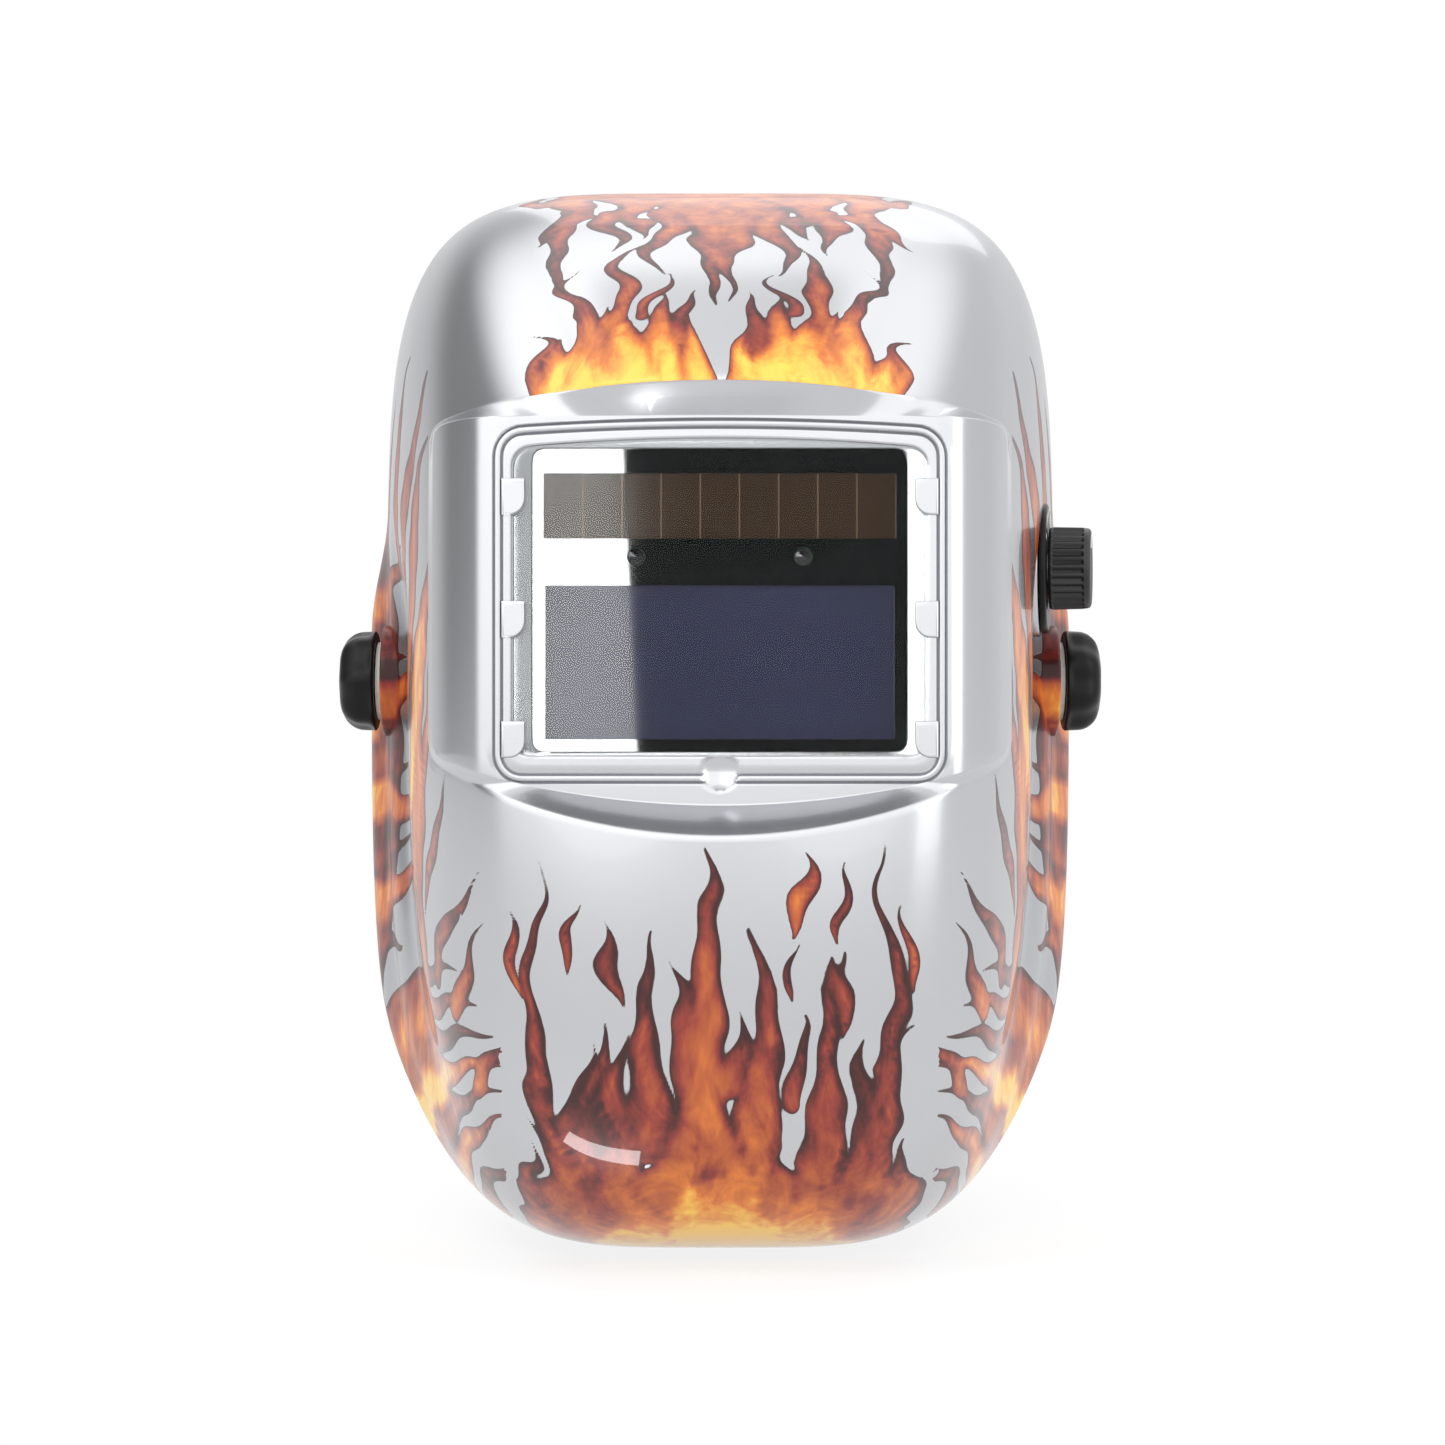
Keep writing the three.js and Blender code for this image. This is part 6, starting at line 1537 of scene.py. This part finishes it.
class HELMET_OT_headgear(Operator):
    """Make the headband, the crown straps, the rear bands and the sweatband"""

    bl_idname = "helmet.headgear"
    bl_label = "Headgear"

    def execute(self, context):
        degrees = np.linspace(-BAND["end"], BAND["end"], 150)
        centre, out = band_point(degrees)
        half_height, half_thick, ribs = BAND_SECTION.values()
        strip = ribbon("headband_strip", centre, out, UP, half_height, half_thick, 0.45)
        dress(strip, "dark_plastic", "headgear", "dark_plastic", "headband")
        for word, height in (("upper", ribs), ("lower", -ribs)):
            raised = centre + out * 0.9 + np.array([0.0, 0.0, height])
            rib = ribbon(f"headband_rib_{word}", raised, out, UP, 0.7, 0.5, 0.3)
            dress(rib, "dark_plastic", "headgear", "dark_plastic")
        self.sweatband()
        for end, word in ((-1, "front"), (1, "rear")):
            for layer, (side, hand) in enumerate(HANDS):
                self.crown_strap(end, word, side, hand, layer)
        for side, hand in HANDS:
            self.rear_band(side, hand)
        return {"FINISHED"}

    def sweatband(self):
        """A padded strip: its section is a squared oval, drawn in at its ends, with a sewn groove along each
        edge and shallow creases across it."""
        stations, around = 220, 48
        half_height, stitch = SWEATBAND["height"] / 2.0, SWEATBAND["stitch"]
        share = np.linspace(0.0, 1.0, stations)
        degrees = mix(-SWEATBAND["reach"], SWEATBAND["reach"], share)
        centre, out = band_point(degrees)
        fill = np.sqrt(np.minimum(1.0, np.sin(share * math.pi) * 4.0))
        thick = SWEATBAND["thick"] * np.maximum(fill, 0.22)
        height = SWEATBAND["height"] * np.maximum(fill, 0.62)
        turn = np.arange(around) / around * 2.0 * math.pi
        cos, sin = np.cos(turn), np.sin(turn)
        section = np.stack([np.sign(cos) * np.abs(cos) ** 0.75, np.sign(sin) * np.abs(sin) ** 0.55], -1)
        waves = np.sin(degrees[:, None] * 0.9) * np.sin(degrees[:, None] * 0.37 + 1.0)
        crease = 0.22 * waves * (cos < 0) * cos**2
        groove = sum(
            0.75 * np.exp(-(((section[:, 1] * half_height - at) / 0.8) ** 2)) for at in (stitch, -stitch)
        )
        across = thick[:, None] / 2.0 * section[:, 0] + crease + groove * (cos < 0)
        upward = height[:, None] / 2.0 * section[:, 1]
        middle = centre - out * (0.95 + thick[:, None] / 2.0)
        rows = middle[:, None] + across[..., None] * out[:, None] + upward[..., None] * np.array(UP)
        pad = loft("sweatband_pad", rows, sharp=70.0)
        along = np.broadcast_to((share * SWEATBAND["length"])[:, None], (stations, around))
        girth = np.broadcast_to((turn / (2.0 * math.pi) * SWEATBAND["girth"])[None], (stations, around))
        weave_map(pad, along, girth)
        dress(pad, "knitted", "headgear", "fabric", "sweatband")
        for word, level in (("upper", stitch), ("lower", -stitch)):
            kept = slice(14, -14)
            inner = middle[kept] - out[kept] * 2.05 + np.array([0.0, 0.0, level])
            seam = stitches(f"sweatband_stitches_{word}", inner, -out[kept])
            dress(seam, "thread", "headgear", "fabric")

    def crown_strap(self, end, word, side, hand, layer):
        """Half of a crown strap: an arch over the head whose lower end is tucked behind the headband."""
        y = end * STRAP["y"]
        width, thick = STRAP["half_width"], STRAP["half_thick"]
        before, here, behind = (
            BAND["half"] * math.sqrt(1 - ((v - BAND["middle"]) / BAND["long"]) ** 2)
            for v in (y - width, y, y + width)
        )
        foot = here + BAND_SECTION["half_thick"] + STRAP["gap"] + thick + abs(behind - before) / 2.0
        foot_z = BAND["level"] - BAND["slope"] * y
        arch_z = foot_z + BAND_SECTION["half_height"] + STRAP["clear"]
        height = STRAP["top"] - arch_z
        turn = np.linspace(math.pi / 2.0, -math.asin(STRAP_ENDS["past_middle"] / foot), 90)
        top = arch_z + (height + layer * STRAP_ENDS["lap"] * np.cos(turn)) * np.cos(turn)
        arch = np.stack([side * foot * np.sin(turn), y + 0.0 * turn, top], -1)
        out = np.stack([side * np.sin(turn) / foot, 0.0 * turn, np.cos(turn) / height], -1)
        straight = np.linspace(foot_z - STRAP_ENDS["tuck"], arch_z, 12)[:-1]
        tuck = np.stack([side * foot + 0.0 * straight, y + 0.0 * straight, straight], -1)
        tuck_out = np.broadcast_to([float(side), 0.0, 0.0], tuck.shape)
        centre = np.concatenate([tuck, arch])
        directions = np.concatenate([tuck_out, out])
        strap = ribbon(f"crown_strap_{word}_{hand}", centre, directions, BACKWARD, width, thick, 0.4)
        dress(strap, "strap_plastic", "headgear", "dark_plastic", f"{word}_strap_{hand}")

    def rear_band(self, side, hand):
        """A band from the headband's end into the ratchet: a quadratic curve that narrows as it goes."""
        start, _ = band_point(np.array([BAND["end"]]))
        start = start[0]
        turn = math.radians(BAND["end"])
        ahead = np.array([BAND["half"] * math.cos(turn), BAND["long"] * math.sin(turn), 0.0])
        ahead = ahead / np.linalg.norm(ahead)
        bend_x = start[0] + ahead[0] / ahead[1] * (RACK_Y - start[1])
        bend = np.array([max(bend_x, 34.8), RACK_Y, mix(start[2], RATCHET_Z, 0.7)])
        end = np.array([33.0, RACK_Y, RATCHET_Z])
        t = np.linspace(0.0, 1.0, 70)[:, None]
        start = start - ahead * 1.5
        centre = (1 - t) ** 2 * start + 2 * t * (1 - t) * bend + t**2 * end
        tangent = np.gradient(centre, axis=0)
        out = np.stack([tangent[:, 1], -tangent[:, 0], 0.0 * tangent[:, 0]], -1)
        half_up = mix(12.0, 6.5, smooth(t[:, 0] / 0.8))
        centre = centre * np.array([side, 1.0, 1.0])
        out = out * np.array([side, 1.0, 1.0])
        band = ribbon(f"rear_band_strip_{hand}", centre, out, UP, half_up, 0.78, 0.4)
        dress(band, "dark_plastic", None, "dark_plastic", f"rear_band_{hand}")
        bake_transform(band)


class HELMET_OT_ratchet(Operator):
    """Make the rear ratchet's housing, knob and nape pad"""

    bl_idname = "helmet.ratchet"
    bl_label = "Rear ratchet"

    def execute(self, context):
        recolour("dark_plastic", "ratchet_cover")
        recolour("natural_nylon", "rack_left", "rack_right", "pinion")
        recolour("bright_steel", "detent_spring", "pinion_screw")
        self.housing()
        self.knob()
        self.nape_cushion()
        return {"FINISHED"}

    def housing(self):
        """A rounded box whose open front shows its wall, with a mouth on each side for the bands."""
        outer = box_ring(36.0, 17.0, 8.0, 12)
        small = box_ring(34.2, 15.2, 6.2, 12)
        bore = box_ring(3.6, 3.6, 3.5, 12)
        stack = (
            (small, 93.0, 0.2),
            (outer, 93.0, 0.4),
            (outer, 105.0, 1.8),
            (small * 0.96, 105.0, 0),
            (box_ring(27.0, 14.0, 6.0, 12), 105.0, 0.3),
            (box_ring(26.4, 13.4, 5.6, 12), 104.6, 0.3),
            (bore, 104.6, 0),
            (bore, 103.2, 0),
            (small, 103.2, 0),
        )
        rows = [placed(ring, y, RATCHET_ORIGIN, BACKWARD) for ring, y, _ in stack]
        body = loft("ratchet_case", eased(rows, [ease for *_, ease in stack], 4, True), True)
        dress(body, "dark_plastic", "rear_ratchet", "dark_plastic", "ratchet_housing")
        rim = placed(box_ring(3.9, 8.3, 2.0, 8), 0.0, (0, 0, 0), (1.0, 0.0, 0.0))
        inner = placed(box_ring(2.6, 7.0, 1.2, 8), 0.0, (0, 0, 0), (1.0, 0.0, 0.0))
        for side, hand in HANDS:
            stack = ((inner, 35.4), (rim, 35.4), (rim, 37.0), (inner, 37.0))
            rows = [ring + np.array([side * x, RACK_Y, RATCHET_Z]) for ring, x in stack]
            mouth = loft(f"ratchet_mouth_{hand}", eased(rows, [0.0, 0.0, 0.4, 0.3], 3, True), True)
            dress(mouth, "dark_plastic", "rear_ratchet", "dark_plastic")

    def knob(self):
        """A lobed knob: its radius dips as a cosine, and its face is dished round a hub."""
        at = (RATCHET_ORIGIN, BACKWARD)
        knob = turned("ratchet_grip", RATCHET_KNOB_ROWS, *at, 240, 4, True, lobes=12, depth=1.5)
        dress(knob, "grip_plastic", "ratchet_drive", "black_plastic", "ratchet_knob")

    def nape_cushion(self):
        """A crowned cushion: rings of a squared oval whose size falls as cos^0.45 and whose height rises as
        sin^0.8, with drawn-in sides, two sewn channels and a seam round its back edge."""
        rings, columns = 46, 168
        tilt = np.linspace(-0.22, math.pi / 2.0, rings)[:, None]
        turn = (np.arange(columns) / columns * 2.0 * math.pi)[None]
        cos, sin = np.cos(turn), np.sin(turn)
        spread = np.maximum(np.cos(np.maximum(tilt, 0.0)), 1e-4) ** 0.45
        spread = spread * (1.0 - 0.5 * np.maximum(-tilt, 0.0))
        drawn = 1.0 - 0.03 * np.cos(2.0 * turn) ** 2
        x = NAPE["half_width"] * spread * drawn * np.sign(cos) * np.abs(cos) ** 0.55
        z = NAPE["half_height"] * spread * drawn * np.sign(sin) * np.abs(sin) ** 0.55
        rise = np.sin(np.maximum(tilt, 0.0)) ** 0.8
        channel = np.exp(-(((np.abs(x) - NAPE["channel"]) / 1.5) ** 2)) * smooth((rise - 0.5) / 0.3)
        seam = 0.7 * np.exp(-(((tilt - 0.2) / 0.07) ** 2))
        crease = 0.16 * np.sin(x * 0.45 + 1.3 * np.sin(z * 0.3)) * np.sin(z * 0.5) * rise
        y = NAPE["back"] - NAPE["crown"] * rise + 1.6 * channel + crease + 0.9 * smooth(-tilt / 0.22)
        shrink = 1.0 - seam / 22.0
        rows = np.stack([x * shrink, y + 0.0 * x, RATCHET_Z + z * shrink], -1)
        cushion = loft("nape_cushion", rows, sharp=75.0)
        weave_map(cushion, x + 0.0 * y, z + y)
        dress(cushion, "knitted", "rear_ratchet", "fabric", "nape_pad")
        line = np.linspace(-11.5, 11.5, 60)
        for side, word in HANDS:
            at = side * NAPE["channel"]
            path = np.stack([at + 0.0 * line, 84.6 + 0.018 * line**2 * 0.35, RATCHET_Z + line], -1)
            seam_line = stitches(f"nape_stitches_{word}", path, np.tile([0.0, -1.0, 0.0], (60, 1)))
            dress(seam_line, "thread", "rear_ratchet", "fabric")


# Place, aim and size of each soft light in metres, and the level that drives it
LAMPS = {
    "key": ((-0.8, -1.2, 1.1), (0, 0, -0.05), (0.8, 0.8), "key"),
    "fill": ((1.4, -0.7, 0.4), (0, 0, 0), (0.7, 1.2), "fill"),
    "back": ((0.2, 1.6, 1.2), (0, 0, 0), (1.2, 0.8), "fill"),
}
GLEAM = {"x": -0.049, "y": -0.166, "size": (0.046, 0.011)}
GLEAM_DROP = 0.003
FLOOR_DROP = 0.004
CAMERA = {"place": (0.0007, -1.048, -0.0128), "lens": 84.8, "sensor": 36.0}


class HELMET_OT_stage(Operator):
    """Set the pale floor, the soft light and the camera"""

    bl_idname = "helmet.stage"
    bl_label = "Stage"

    def lamp(self, name, place, target, size, power):
        data = bpy.data.lights.new(name, "AREA")
        data.shape = "RECTANGLE"
        data.size, data.size_y = size
        data.energy = power
        lamp = bpy.data.objects.new(name, data)
        bpy.context.scene.collection.objects.link(lamp)
        lamp.location = place
        lamp.rotation_euler = (Vector(target) - Vector(place)).to_track_quat("-Z", "Y").to_euler()
        return lamp

    def room(self, scene, levels):
        """White to the camera, and to gloss and glass behind the helmet, and darker beside it. In front there
        is a soft box on each side, the left one brighter, and it is dimmer straight overhead. Rays that leave
        through the lens meet a bright window on the left, cut off near the middle, and a weak glow on the
        right."""
        scene.world = bpy.data.worlds.new("studio")
        sky = Paint("studio", scene.world)
        place = sky.node("ShaderNodeTexCoord")
        split = sky.node("ShaderNodeSeparateXYZ", {}, {"Vector": place.outputs["Generated"]})
        x, y, z = (Term(sky, socket) for socket in split.outputs)
        path = sky.node("ShaderNodeLightPath")
        behind = y.ramp(0.7, 0.95)
        ahead = y.ramp(-0.35, 0.0, 1.0, 0.0).maximum(z.ramp(0.5, 0.8))
        boxes = (x + z * 0.05).ramp(-0.02, 0.14, levels.left, levels.right)
        beside = x.ramp(-0.5, 0.4, levels.side, levels.side * 3.4)
        front = ahead * (boxes + levels.front) + (1.0 - ahead) * beside
        front = front * z.ramp(0.88, 0.96, 1.0, 0.62)
        window = (x + z * 0.045).ramp(-0.0262, -0.0248, levels.window, 0.0)
        glass = window * z.absolute().ramp(0.3, 0.45, 1.0, 0.0)
        glass = glass + x.ramp(0.09, 0.14, 0.0, 0.6)
        strength = front + (levels.room - front) * behind
        for rays, seen in (
            ("Is Glossy Ray", front + (1.0 - front) * behind),
            ("Is Transmission Ray", glass + (1.0 - glass) * behind),
            ("Is Camera Ray", 1.0),
        ):
            strength = strength + (seen - strength) * Term(sky, path.outputs[rays])
        background = sky.tree.nodes["Background"]
        background.inputs["Color"].default_value = (1.0, 1.0, 1.0, 1.0)
        sky.tree.links.new(strength.socket, background.inputs["Strength"])

    def floor(self, scene, lowest):
        """A pale floor that turns white away from the helmet and keeps its shadow."""
        side = 8.0
        mesh = bpy.data.meshes.new("floor")
        corners = [(-side, -side, lowest), (side, -side, lowest), (side, side, lowest), (-side, side, lowest)]
        mesh.from_pydata(corners, [], [(0, 1, 2, 3)])
        floor = bpy.data.objects.new("floor", mesh)
        scene.collection.objects.link(floor)
        pale = Paint("pale_floor")
        pale.set(base_color=(0.9, 0.9, 0.9), roughness=pale.noise(3.0).ramp(0.2, 0.8, 0.85, 0.95))
        x = pale.axis("X")
        y = pale.axis("Y")
        far = ((x * x + y * y) ** 0.5).ramp(0.1, 0.4, 0.8, 1.0)
        path = pale.node("ShaderNodeLightPath")
        seen = Term(pale, path.outputs["Is Camera Ray"]).maximum(Term(pale, path.outputs["Is Glossy Ray"]))
        white = pale.node("ShaderNodeEmission", {}, {"Strength": 1.0})
        both = pale.node("ShaderNodeMixShader", {}, {0: seen * far, 2: white.outputs[0]})
        pale.tree.links.new(pale.surface.outputs[0], both.inputs[1])
        pale.tree.links.new(both.outputs[0], pale.tree.nodes["Material Output"].inputs["Surface"])
        mesh.materials.append(pale.material)

    def execute(self, context):
        scene = context.scene
        levels = scene.helmet_light
        scene.view_settings.view_transform = "Standard"
        self.room(scene, levels)
        lowest = CAD_BOX[0][2]
        self.floor(scene, lowest - FLOOR_DROP)
        for name, (place, target, size, level) in LAMPS.items():
            self.lamp(name, place, target, size, getattr(levels, level))
        spot = (GLEAM["x"], GLEAM["y"])
        gleam = self.lamp("gleam", (*spot, lowest - GLEAM_DROP), (*spot, 1), GLEAM["size"], levels.gleam)
        gleam.visible_camera = False
        gleam.visible_diffuse = False
        data = bpy.data.cameras.new("camera")
        data.sensor_width = CAMERA["sensor"]
        data.lens = CAMERA["lens"]
        camera = bpy.data.objects.new("camera", data)
        scene.collection.objects.link(camera)
        camera.location = CAMERA["place"]
        camera.rotation_euler = (math.radians(90.0), 0.0, 0.0)
        scene.camera = camera
        return {"FINISHED"}


OPERATORS = (
    HELMET_OT_shell,
    HELMET_OT_mouldings,
    HELMET_OT_shade_control,
    HELMET_OT_side_knobs,
    HELMET_OT_cartridge,
    HELMET_OT_pivots,
    HELMET_OT_headgear,
    HELMET_OT_ratchet,
    HELMET_OT_stage,
)


class HELMET_PT_panel(Panel):
    """Buttons for the helmet's pieces, with their sizes and colours"""

    bl_idname = "HELMET_PT_panel"
    bl_label = "Welding helmet"
    bl_space_type = "VIEW_3D"
    bl_region_type = "UI"
    bl_category = "Helmet"

    def draw(self, context):
        for operator in OPERATORS:
            self.layout.operator(operator.bl_idname)
        for group in (context.scene.helmet_skin, context.scene.helmet_paint, context.scene.helmet_light):
            box = self.layout.box()
            for key in group.__annotations__:
                box.prop(group, key)


GROUPS = {"helmet_skin": SkinSizes, "helmet_paint": PaintColours, "helmet_light": LightLevels}
CLASSES = (*GROUPS.values(), *OPERATORS, HELMET_PT_panel)


def register():
    for cls in CLASSES:
        bpy.utils.register_class(cls)
    for name, group in GROUPS.items():
        setattr(bpy.types.Scene, name, PointerProperty(type=group))


def unregister():
    for name in GROUPS:
        delattr(bpy.types.Scene, name)
    for cls in reversed(CLASSES):
        bpy.utils.unregister_class(cls)


def main():
    """Builds every piece in order."""
    register()
    for operator in OPERATORS:
        group, name = operator.bl_idname.split(".")
        getattr(getattr(bpy.ops, group), name)()


if __name__ == "__main__":
    main()
